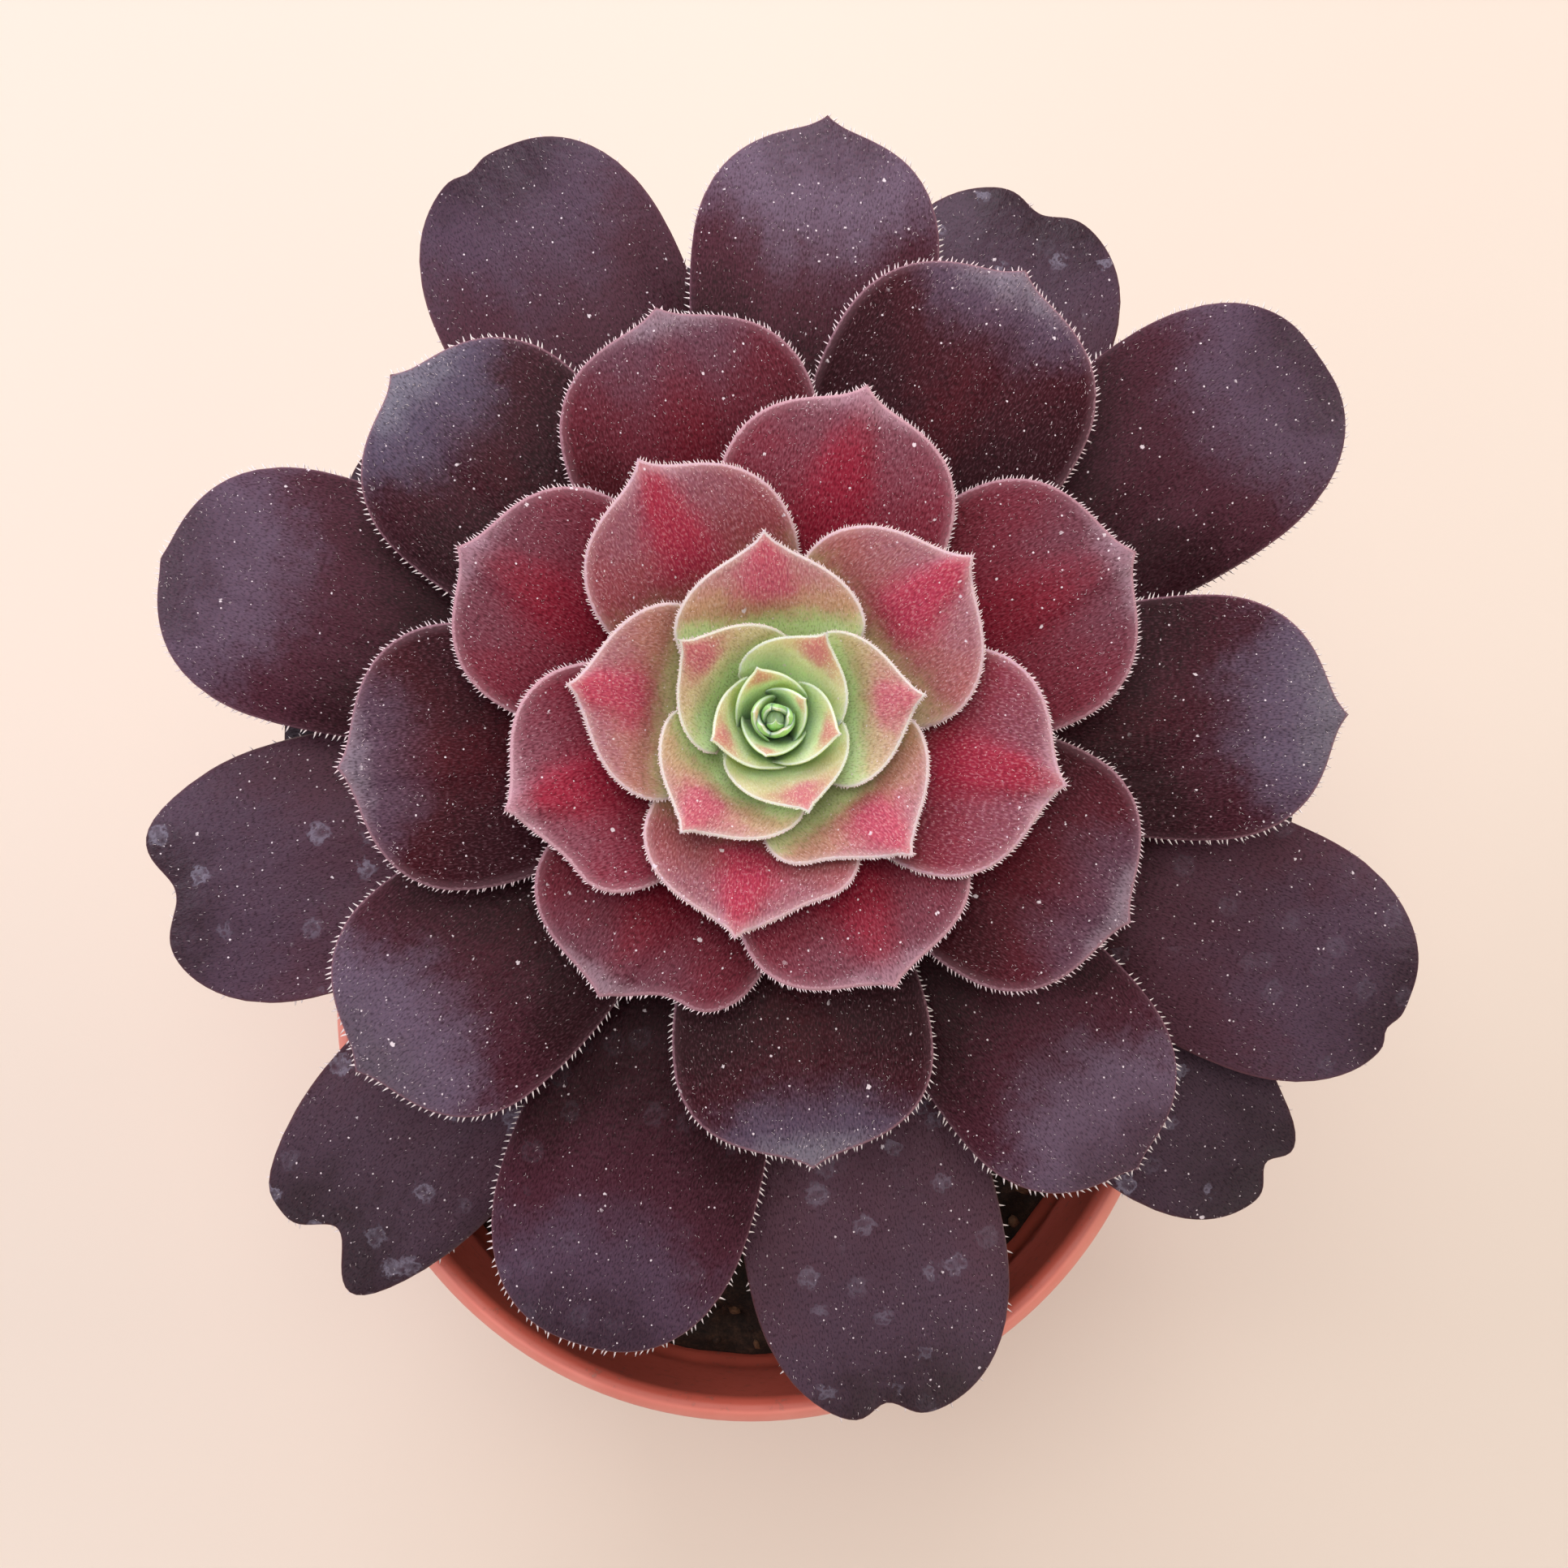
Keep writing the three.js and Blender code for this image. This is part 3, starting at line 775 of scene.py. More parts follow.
@dataclass(frozen=True)
class PeatCompost:
    """Damp peat compost: dark fibrous crumbs, matt, with some bark and a few pale grains."""

    name: str = "peat_compost"
    wet: str = "#1a110d"
    damp: str = "#2e1f17"
    dry: str = "#4a3427"
    bark: str = "#6b4a33"
    grain: str = "#b9ab97"
    crumb: float = 1.8  # millimetres across a crumb
    fibre: float = 0.35  # millimetres across a fibre

    def material(self) -> bpy.types.Material:
        """Builds the material. Its pieces carry the mark `kind`: 0 peat, 0.5 bark and 1 pale grain.

        Returns:
            The material.
        """
        material, tree = new_material(self.name)
        place = add_node(tree, "TexCoord").outputs["Object"]
        kind = add_node(tree, "Attribute", attribute_name="kind").outputs["Fac"]
        crumb = add_node(
            tree,
            "TexNoise",
            {"Vector": place, "Scale": per_metre(self.crumb), "Detail": 5, "Roughness": 0.65},
        )
        fibre = add_node(tree, "TexNoise", {"Vector": place, "Scale": per_metre(self.fibre), "Detail": 3})
        peat = add_node(
            tree,
            "ValToRGB",
            {0: crumb.outputs[0]},
            stops=[(0.32, linear(self.wet)), (0.55, linear(self.damp)), (0.75, linear(self.dry))],
        )
        other = add_node(
            tree,
            "ValToRGB",
            {0: kind},
            stops=[(0.25, linear(self.dry)), (0.5, linear(self.bark)), (0.9, linear(self.grain))],
        )
        mixed = add_node(
            tree,
            "MapRange",
            {"Value": kind, "From Min": 0.1, "From Max": 0.4, "To Max": 0.85},
        )
        colour = add_node(
            tree, "Mix", {0: mixed.outputs[0], 6: peat.outputs[0], 7: other.outputs[0]}, data_type="RGBA"
        )
        fuzz = add_node(
            tree,
            "MapRange",
            {"Value": fibre.outputs[0], "From Min": 0.3, "From Max": 0.7, "To Min": 0.55, "To Max": 1.25},
        )
        shaded = add_node(
            tree,
            "VectorMath",
            {0: colour.outputs[2], "Scale": fuzz.outputs[0]},
            operation="SCALE",
        )
        coarse = add_node(tree, "Bump", {"Strength": 0.8, "Distance": 0.5 * MM, "Height": crumb.outputs[0]})
        relief = add_node(
            tree,
            "Bump",
            {
                "Strength": 0.6,
                "Distance": 0.15 * MM,
                "Height": fibre.outputs[0],
                "Normal": coarse.outputs[0],
            },
        )
        shader = add_node(
            tree,
            "BsdfPrincipled",
            {"Base Color": shaded.outputs[0], "Roughness": 0.92, "IOR": 1.4, "Normal": relief.outputs[0]},
        )
        add_node(tree, "OutputMaterial", {"Surface": shader.outputs[0]})
        return material


@dataclass(frozen=True)
class StemBark:
    """Young bark: grey-brown cork, finely cracked along the stem, paler round the leaf scars."""

    name: str = "stem_bark"
    cork: str = "#6e5a4b"
    crack: str = "#3a2b24"
    worn: str = "#8a7664"
    scar: str = "#a08a74"
    fissure: float = 0.9  # millimetres across a crack, and it is longer up the stem

    def material(self) -> bpy.types.Material:
        """Builds the material. Its piece carries the mark `scar`, 1 on a leaf scar's raised rim.

        Returns:
            The material.
        """
        material, tree = new_material(self.name)
        place = add_node(tree, "TexCoord").outputs["Object"]
        scar = add_node(tree, "Attribute", attribute_name="scar").outputs["Fac"]
        upright = add_node(tree, "Mapping", {"Vector": place, "Scale": (1.0, 1.0, 0.3)})
        fissure = add_node(
            tree,
            "TexNoise",
            {"Vector": upright.outputs[0], "Scale": per_metre(self.fissure), "Detail": 5, "Roughness": 0.65},
        )
        bark = add_node(
            tree,
            "ValToRGB",
            {0: fissure.outputs[0]},
            stops=[(0.35, linear(self.crack)), (0.52, linear(self.cork)), (0.75, linear(self.worn))],
        )
        colour = add_node(
            tree, "Mix", {0: scar, 6: bark.outputs[0], 7: linear(self.scar)}, data_type="RGBA"
        )
        relief = add_node(
            tree, "Bump", {"Strength": 0.7, "Distance": 0.25 * MM, "Height": fissure.outputs[0]}
        )
        shader = add_node(
            tree,
            "BsdfPrincipled",
            {"Base Color": colour.outputs[2], "Roughness": 0.82, "IOR": 1.4, "Normal": relief.outputs[0]},
        )
        add_node(tree, "OutputMaterial", {"Surface": shader.outputs[0]})
        return material


class Growth(Enum):
    """The classes of leaf by colour. Each names its slot and the first step that belongs to it."""

    AUBERGINE = ("aubergine_leaf", -20)
    WINE = ("wine_leaf", 5)
    ROSE = ("rose_leaf", 15)
    GREEN = ("green_leaf", 25)

    @property
    def slot(self) -> str:
        """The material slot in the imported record."""
        return self.value[0]

    @classmethod
    def at(cls, step: int) -> "Growth":
        """The class of a leaf by its step."""
        return [growth for growth in cls if step >= growth.value[1]][-1]


SKINS = {
    Growth.AUBERGINE: LeafSkin(
        "leaf_skin_aubergine",
        roughness=0.5,
        refraction=1.32,
        sheen=0.02,
        sheen_colour="#8f86b8",
        flesh=0.0,
        frost=0.14,
        depth=0.5,
        band=0.08,
        leather=0.5,
    ),
    Growth.WINE: LeafSkin(
        "leaf_skin_wine",
        roughness=0.58,
        refraction=1.28,
        sheen=0.03,
        sheen_colour="#b08aa0",
        flesh=0.0,
        frost=0.13,
        depth=0.5,
        band=0.18,
        leather=0.35,
    ),
    Growth.ROSE: LeafSkin(
        "leaf_skin_rose",
        roughness=0.7,
        refraction=1.28,
        sheen=0.06,
        sheen_colour="#e8bcc0",
        flesh=0.4,
        frost=0.26,
        depth=0.35,
        band=0.22,
        leather=0.15,
    ),
    Growth.GREEN: LeafSkin(
        "leaf_skin_green",
        roughness=0.7,
        refraction=1.28,
        sheen=0.05,
        sheen_colour="#e6f0c8",
        flesh=0.7,
        frost=0.26,
        depth=0.16,
        band=0.15,
        leather=0.08,
    ),
}
HAIRS = {
    Growth.AUBERGINE: LeafHair("leaf_hair_grey", "#e4d2d0", "#fffdf8"),
    Growth.WINE: LeafHair("leaf_hair_pink", "#e4c8cc", "#fffaf8"),
    Growth.ROSE: LeafHair("leaf_hair_rose", "#ecd2d2", "#fff8f4"),
    Growth.GREEN: LeafHair("leaf_hair_pale", "#e2ecc8", "#fbfdec"),
}


# ---- Pot -------------------------------------------------------------------------


@dataclass
class Pot:
    """The nursery pot: a thin tapered shell with a collar, a rolled rim and drainage holes."""

    height: float = 92
    rim_radius: float = 52.5
    rim_roll: float = 3.2
    rim_depth: float = 4
    collar_radius: float = 50.2
    collar_depth: float = 17
    step_radius: float = 48.4
    step_inside: float = 3
    lip: float = 0.6
    base_radius: float = 36.5
    base_round: float = 2.5
    wall: float = 1.3
    floor: float = 1.8
    drain_count: int = 8
    drain_radius: float = 4.5
    drain_depth: float = 4.5
    drain_circle: float = 33
    round_sides: int = 160
    drain_sides: int = 32
    corner: float = 1.1  # how far from a corner of the section its curve begins
    crease: float = 35  # the angle in degrees from which an edge is sharp
    pinhole: float = 0.02  # the radius in the middle of the floor, which a cap closes
    finish: MouldedPolypropylene = MouldedPolypropylene()

    def body_radius(self, z: float) -> float:
        """The outside radius of the body under the collar, at a height."""
        share = z / (self.height - self.collar_depth)
        return self.base_radius + (self.step_radius - self.base_radius) * share

    @property
    def inside_step(self) -> float:
        """The height of the step in the inner wall."""
        return self.height - self.collar_depth - self.step_inside

    def profile(self) -> list[tuple[float, float]]:
        """The wall's section, from the middle of the base round to the floor.

        Returns:
            Its corners, each a radius and a height.
        """
        step, lip, top = self.height - self.collar_depth, self.lip, self.height
        return [
            (0, 0),
            (self.base_radius - self.base_round, 0),
            (self.base_radius, self.base_round),
            (self.step_radius, step - 2 * lip),
            (self.collar_radius - lip, step),
            (self.collar_radius, top - self.rim_depth),
            (self.rim_radius - lip, top - self.rim_depth + lip),
            (self.rim_radius, top - self.rim_depth / 2),
            (self.rim_radius - 1.5 * lip, top - lip),
            (self.rim_radius - self.rim_roll / 2, top),
            (self.rim_radius - self.rim_roll, top - lip),
            (self.collar_radius - self.wall - lip, self.inside_step + 2 * lip),
            (self.body_radius(self.inside_step) - self.wall, self.inside_step),
            (self.body_radius(self.floor) - self.wall, self.floor),
            (0, self.floor),
        ]

    @staticmethod
    def rounded(profile: list[tuple[float, float]], radius: float, cuts: int = 3) -> np.ndarray:
        """A section with each corner replaced by a small curve.

        Args:
            profile: the section's corners.
            radius: how far from a corner its curve begins, where both its sides are long enough.
            cuts: the points on each curve, less one.

        Returns:
            The points of the rounded section.
        """
        most = 0.45  # of the way to the next corner, so that two curves never meet
        corners = np.array(profile, float)
        points = [corners[0]]
        for before, corner, after in zip(corners, corners[1:], corners[2:]):
            back, on = before - corner, after - corner
            start = corner + back * min(most, radius / np.linalg.norm(back))
            end = corner + on * min(most, radius / np.linalg.norm(on))
            for share in np.linspace(0, 1, cuts + 1):
                points.append((1 - share) ** 2 * start + 2 * share * (1 - share) * corner + share**2 * end)
        return np.array([*points, corners[-1]])

    def build(self) -> None:
        """Turns the section on the lathe, cuts the drainage holes and dresses the pot."""
        section = self.rounded(self.profile(), self.corner)
        inner = np.arange(len(section)) > section[:, 1].argmax()
        section[0, 0] = section[-1, 0] = self.pinhole
        angles = np.linspace(0, 2 * np.pi, self.round_sides, endpoint=False)
        rings = np.array([[(r * np.cos(a), r * np.sin(a), z) for a in angles] for r, z in section])
        faces = tube_faces(len(section), self.round_sides)
        marks = {"inside": np.repeat(inner.astype(float), self.round_sides)}
        body = Body(rings.reshape(-1, 3), faces, marks)
        pot = body.piece("nursery_pot", self.finish.material(), sharp=self.crease)
        self._drain(pot)
        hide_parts("pot")

    def _drain(self, pot: bpy.types.Object) -> None:
        """Cuts the drainage holes up through the corner between floor and wall.

        Args:
            pot: the turned pot, which gets a new mesh.
        """
        cutter = bmesh.new()
        for i in range(self.drain_count):
            angle = 2 * math.pi * i / self.drain_count
            hole = bmesh.ops.create_cone(
                cutter,
                cap_ends=True,
                segments=self.drain_sides,
                radius1=self.drain_radius * MM,
                radius2=self.drain_radius * MM,
                depth=2 * self.drain_depth * MM,
            )
            middle = Vector((math.cos(angle), math.sin(angle), 0)) * self.drain_circle * MM
            bmesh.ops.translate(cutter, verts=hole["verts"], vec=middle)
        mesh = bpy.data.meshes.new("drain_cutter")
        cutter.to_mesh(mesh)
        cutter.free()
        tool = bpy.data.objects.new("drain_cutter", mesh)
        bpy.context.scene.collection.objects.link(tool)
        cut = pot.modifiers.new("drain", "BOOLEAN")
        cut.object, cut.operation, cut.solver = tool, "DIFFERENCE", "EXACT"
        shell = bpy.data.meshes.new_from_object(pot.evaluated_get(bpy.context.evaluated_depsgraph_get()))
        pot.modifiers.clear()
        pot.data = shell
        shell.set_sharp_from_angle(angle=math.radians(self.crease))
        bpy.data.objects.remove(tool)


# ---- Soil ------------------------------------------------------------------------


class Crumb(Enum):
    """The kinds of loose crumb: the mark for the finish, the share of them all, and the size."""

    PEAT = (0.0, 0.72, 0.85)
    BARK = (0.5, 0.2, 1.15)
    GRAIN = (1.0, 0.08, 0.85)


@dataclass
class Soil:
    """The compost: what fills the pot, with a lumpy top and loose crumbs lying on it."""

    pot: Pot
    top: float = 77.5
    relief: float = 2.2
    edge_sink: float = 1.4
    gap: float = 0.3
    core: float = 0.4
    lump: float = 3.2  # millimetres across a lump of its surface
    clod: float = 1.3  # millimetres across a smaller one
    lump_height: float = 0.9
    edge_calm: float = 0.6  # how much lower the lumps are along the wall
    rings: int = 56
    sides: int = 168
    crumbs: int = 520
    crumb_reach: float = 45
    crumb_least: float = 0.45
    crumb_sizes: tuple[float, float] = (2.2, 0.28)  # the gamma distribution of what comes on top
    crumb_rough: float = 0.22  # how uneven their surface is, by their size
    crumb_tilt: float = 0.6  # in radians
    seed: int = 11
    finish: PeatCompost = PeatCompost()

    def edge(self, z: float) -> float:
        """The radius of the soil at a height, just inside the wall."""
        return self.pot.body_radius(z) - self.pot.wall - self.gap

    def ground(self, x: np.ndarray, y: np.ndarray) -> np.ndarray:
        """The height of the soil's surface, without its lumps and crumbs.

        Args:
            x: places to the right of the pot's middle.
            y: places behind it.

        Returns:
            The height at each place.
        """
        # Two sets of waves, which are those of the CAD solid.
        broad = np.sin(x * 0.21 + 1.3) * np.cos(y * 0.17 - 0.4)
        fine = np.sin(x * 0.55 + y * 0.31) * np.sin(y * 0.63 - x * 0.22 + 2)
        sunk = self.edge_sink * smooth(0.82, 1.0, np.hypot(x, y) / self.edge(self.pot.inside_step))
        return self.top - sunk + self.relief * (0.5 * broad + 0.5 * fine)

    def build(self) -> None:
        """Makes the filling and dresses it."""
        bottom, step = self.pot.floor + self.gap, self.pot.inside_step
        reach = self.edge(step)
        angles = np.linspace(0, 2 * np.pi, self.sides, endpoint=False)
        levels = [(self.core, bottom), (self.edge(bottom), bottom), (reach, step)]
        rings = [[(r * np.cos(a), r * np.sin(a), z) for a in angles] for r, z in levels]
        for i in range(self.rings, 0, -1):
            r = reach * i / self.rings
            ring = np.stack([r * np.cos(angles), r * np.sin(angles), np.zeros(self.sides)], axis=1)
            ring[:, 2] = self.ground(ring[:, 0], ring[:, 1])
            lumps = rough_ground(ring, self.lump) * self.lump_height
            lumps = lumps + np.abs(rough_ground(ring, self.clod, 7.0)) * self.lump_height
            ring[:, 2] += lumps * (1 - self.edge_calm * (i == self.rings))
            rings.append(ring.tolist())
        points = np.array(rings).reshape(-1, 3)
        filling = Body(points, tube_faces(len(rings), self.sides), {"kind": np.zeros(len(points))})
        soil = Body.joined([filling, *self._crumbs()]).piece("peat_filling", self.finish.material())
        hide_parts("soil")

    def _crumbs(self) -> list[Body]:
        """Loose crumbs of peat, chips of bark and pale grains, each half sunk in the surface.

        Returns:
            One body for each.
        """
        draw = np.random.default_rng(self.seed)
        ball = bmesh.new()
        bmesh.ops.create_icosphere(ball, subdivisions=1, radius=1)
        shape = np.array([vert.co[:] for vert in ball.verts])
        faces = [tuple(vert.index for vert in face.verts) for face in ball.faces]
        ball.free()
        kinds = [kind.value for kind in Crumb]
        crumbs = []
        for _ in range(self.crumbs):
            angle = draw.uniform(0, 2 * np.pi)
            radius = self.crumb_reach * math.sqrt(draw.uniform(0.0, 1))
            x, y = radius * np.cos(angle), radius * np.sin(angle)
            mark, _, bulk = kinds[draw.choice(len(kinds), p=[share for _, share, _ in kinds])]
            size = self.crumb_least + draw.gamma(*self.crumb_sizes) * bulk
            stretch = draw.uniform((0.7, 0.7, 0.35), (1.3, 1.0, 0.8)) * size
            points = shape * stretch * (1 + self.crumb_rough * draw.standard_normal((len(shape), 1)))
            spin = draw.uniform(0, 2 * np.pi)
            tilt = draw.uniform(-self.crumb_tilt, self.crumb_tilt)
            turn = np.array(
                [
                    [np.cos(spin), -np.sin(spin), 0],
                    [np.sin(spin) * np.cos(tilt), np.cos(spin) * np.cos(tilt), -np.sin(tilt)],
                    [np.sin(spin) * np.sin(tilt), np.cos(spin) * np.sin(tilt), np.cos(tilt)],
                ]
            )
            height = self.ground(np.array([x]), np.array([y]))[0] + 0.3 + 0.15 * size
            body = points @ turn.T + (x, y, height)
            crumbs.append(Body(body, faces, {"kind": np.full(len(body), mark)}))
        return crumbs


# ---- Stem ------------------------------------------------------------------------


@dataclass
class RosetteFrame:
    """The frame of the rosette: its own Z is the axis that the leaves stand round."""

    origin: tuple[float, float, float] = (2.7, 28.5, 114.1)
    lean_forward: float = 5
    lean_right: float = 1
    crown: float = 18.4
    stem_radius: float = 5.8
    crown_radius: float = 3.0

    def __post_init__(self) -> None:
        """Works out the frame's three directions."""
        x, y = math.sin(math.radians(self.lean_right)), -math.sin(math.radians(self.lean_forward))
        axis = np.array([x, y, math.sqrt(1 - x * x - y * y)])
        right = np.array([1.0, 0, 0]) - axis * x
        right /= np.linalg.norm(right)
        self.turn = np.stack([right, np.cross(axis, right), axis], axis=1)

    def world(self, points: np.ndarray) -> np.ndarray:
        """Points of the rosette's frame in the frame of the plant."""
        return points @ self.turn.T + np.array(self.origin)

    def taper(self, z: np.ndarray | float) -> np.ndarray | float:
        """The stem's radius among the leaves, at a height in this frame."""
        share = np.clip(np.asarray(z) / self.crown, 0, 1)
        return self.stem_radius + (self.crown_radius - self.stem_radius) * share


@dataclass
class Stem:
    """The short woody stem: out of the soil, back, and upright into the rosette."""

    frame: RosetteFrame
    foot: tuple[float, float, float] = (0.4, 11, 50)
    collar: tuple[float, float, float] = (0.9, 14, 78)
    knee: tuple[float, float, float] = (2.0, 23, 99)
    foot_radius: float = 4.4
    scar_depth: float = 0.35
    scar_turns: float = 9
    scar_pale: float = 0.55
    upright_from: float = -3.5  # the height in the rosette's frame from which the stem is upright
    bare_to: float = -1  # the height there up to which it has no leaves
    cuts: int = 60  # points on the curve between two knots
    sides: int = 48
    rings: int = 150
    finish: StemBark = StemBark()

    def line(self, count: int) -> np.ndarray:
        """The stem's line, which is a centripetal curve through its knots.

        Args:
            count: how many points it has.

        Returns:
            Its points, evenly spaced.
        """
        heights = (self.upright_from, 0, self.frame.crown / 2, self.frame.crown)
        upper = self.frame.world(np.array([(0, 0, z) for z in heights]))
        knots = np.array([self.foot, self.collar, self.knee, *upper])
        knots = np.array([2 * knots[0] - knots[1], *knots, 2 * knots[-1] - knots[-2]])
        points = []
        for p0, p1, p2, p3 in zip(knots, knots[1:], knots[2:], knots[3:]):
            gaps = [math.sqrt(np.linalg.norm(b - a)) for a, b in ((p0, p1), (p1, p2), (p2, p3))]
            start = ((p1 - p0) / gaps[0] - (p2 - p0) / (gaps[0] + gaps[1]) + (p2 - p1) / gaps[1]) * gaps[1]
            end = ((p2 - p1) / gaps[1] - (p3 - p1) / (gaps[1] + gaps[2]) + (p3 - p2) / gaps[2]) * gaps[1]
            for s in np.linspace(0, 1, self.cuts, endpoint=False):
                points.append(
                    (2 * s**3 - 3 * s**2 + 1) * p1
                    + (s**3 - 2 * s**2 + s) * start
                    + (-2 * s**3 + 3 * s**2) * p2
                    + (s**3 - s**2) * end
                )
        points = np.array([*points, knots[-2]])
        length = np.concatenate([[0], np.cumsum(np.linalg.norm(np.diff(points, axis=0), axis=1))])
        even = np.linspace(0, length[-1], count)
        return np.stack([np.interp(even, length, points[:, k]) for k in range(3)], axis=1)

    def build(self) -> None:
        """Makes the stem with its leaf scars and dresses it."""
        line = self.line(self.rings)
        along = np.gradient(line, axis=0)
        along /= np.linalg.norm(along, axis=1, keepdims=True)
        across = np.array([1.0, 0, 0]) - along * along[:, :1]
        across /= np.linalg.norm(across, axis=1, keepdims=True)
        other = np.cross(along, across)
        angles = np.linspace(0, 2 * np.pi, self.sides, endpoint=False)
        share = np.linspace(0, 1, self.rings)[:, None]
        local_z = (line - np.array(self.frame.origin)) @ self.frame.turn[:, 2]
        rise = np.clip((line[:, 2] - self.foot[2]) / (self.knee[2] - self.foot[2]), 0, 1)
        bare = self.foot_radius + (self.frame.stem_radius - self.scar_depth - self.foot_radius) * rise
        # Leaf scars stand in the same two-way spirals as the leaves did: narrow raised lenses.
        spiral = np.sin(share * self.scar_turns * 4 * np.pi + 3 * angles) * np.sin(
            share * self.scar_turns * 4 * np.pi - 2 * angles + 1
        )
        scars = smooth(0.25, 0.75, spiral)
        radius = np.where(
            (local_z > self.bare_to)[:, None],
            self.frame.taper(local_z)[:, None] * np.ones_like(scars),
            bare[:, None] + self.scar_depth * scars,
        )
        points = (
            line[:, None]
            + across[:, None] * (radius * np.cos(angles))[..., None]
            + other[:, None] * (radius * np.sin(angles))[..., None]
        )
        rims = self.scar_pale * scars * (1 - smooth(0.8, 1, spiral)) * (local_z <= self.bare_to)[:, None]
        body = Body(points.reshape(-1, 3), tube_faces(self.rings, self.sides), {"scar": rims.ravel()})
        stem = body.piece("woody_stem", self.finish.material())
        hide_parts("stem")


# ---- Leaves ----------------------------------------------------------------------


@dataclass(frozen=True)
class LeafRow:
    """What one leaf has of its own.

    Attributes:
        step: its place on the growth spiral.
        turn: degrees off the golden angle.
        reach: the distance of its tip from the rosette's axis.
        width: its greatest width.
        lobes: the notches in its end: place across it, depth by its length, width. One with
            a depth below 0 is a swelling.
        lift: how much higher its tip stands than its step gives.
        stains: how strongly dried water drops show on it.
    """

    step: int
    turn: float
    reach: float
    width: float
    lobes: tuple[tuple[float, float, float], ...] = ()
    lift: float = 0.0
    stains: float = 0.0


LEAVES = (
    LeafRow(-19, 1, 62, 25),
    LeafRow(-15, -2, 57, 25),
    LeafRow(-14, -0.7, 78, 25.5, lobes=((0.12, 0.035, 0.16), (0.8, 0.05, 0.2)), stains=0.8),
    LeafRow(-13, 0, 57, 25),
    LeafRow(
        -12, -5.8, 79, 25.5, lobes=((0.04, 0.055, 0.24), (-0.7, -0.02, 0.2), (0.62, -0.045, 0.3)), stains=0.7
    ),
    LeafRow(-10, -5, 58, 25),
    LeafRow(-9, -5.1, 79.3, 29.6, lobes=((-0.14, 0.032, 0.17),), stains=0.45),
    LeafRow(-8, -1.2, 70.8, 29, lobes=((0.02, 0.028, 0.2),), stains=0.7),
    LeafRow(-7, -5.6, 73, 29, lobes=((-0.08, 0.045, 0.26), (-0.65, -0.02, 0.25)), stains=0.7),
    LeafRow(-6, -2.4, 78.6, 28.4, lobes=((-0.2, 0.014, 0.1),), stains=0.15),
    LeafRow(-5, -0.5, 74.6, 28.8, lobes=((0.22, 0.014, 0.12),)),
    LeafRow(-4, -1.5, 71.2, 28.2, stains=0.1),
    LeafRow(-3, 3, 75.5, 28.2),
    LeafRow(-2, -4.7, 70.8, 28.2),
    LeafRow(-1, 3.2, 62.5, 25.6),
    LeafRow(0, 1, 68.9, 27.3),
    LeafRow(1, -2, 58.2, 27.5),
    LeafRow(2, 2.3, 62.3, 26.6),
    LeafRow(3, 1, 56, 27.2),
    LeafRow(4, 1, 46.7, 27.5),
    LeafRow(5, 9.6, 55.6, 29.4),
    LeafRow(6, -3, 45.7, 28.2),
    LeafRow(7, 4, 42.2, 27),
    LeafRow(8, 2, 44.9, 27.4),
    LeafRow(9, -4, 33.2, 26, lobes=((0.45, 0.05, 0.25),)),
    LeafRow(10, 6, 41, 26.8),
    LeafRow(11, -5, 36.8, 24.7),
    LeafRow(12, 0, 29.5, 25),
    LeafRow(13, 3, 35.3, 25),
    LeafRow(14, -10, 28.7, 24.5, lobes=((0.55, 0.05, 0.3),)),
    LeafRow(15, 0, 30, 24.3, lift=0.8),
    LeafRow(16, -6, 29.5, 22.8),
    LeafRow(17, -2, 22.5, 23.2, lobes=((0.6, 0.06, 0.3),)),
    LeafRow(18, 0, 25.6, 23.2),
    LeafRow(19, -5, 21, 21.3),
    LeafRow(20, 0, 19.5, 21.1, lobes=((-0.6, 0.08, 0.3),)),
    LeafRow(21, 2, 18.5, 21),
    LeafRow(22, 2, 15, 19),
    LeafRow(23, 1, 15, 17.8),
    LeafRow(24, -2, 12, 17.3),
)
HEART = (
    LeafRow(25, 7, 10.2, 16),
    LeafRow(26, -1, 9.5, 14.5),
    LeafRow(27, 5, 6.8, 12.8),
    LeafRow(28, 9, 6.6, 11.2),
    LeafRow(29, 0, 4.9, 10),
    LeafRow(30, 7, 4.1, 8.6),
    LeafRow(31, 2, 3.2, 7.6),
    LeafRow(32, 8, 2.1, 6),
    LeafRow(33, -5, 1.6, 5),
    LeafRow(34, 0, 0.6, 4.2),
)
# Leaves that are only beginning, at the top of the growing tip.
BUD = (
    LeafRow(35, 0, 1.7, 4.2),
    LeafRow(36, 0, 1.2, 3.4),
    LeafRow(37, 0, 0.8, 2.8),
    LeafRow(38, 0, 0.4, 2.0),
)


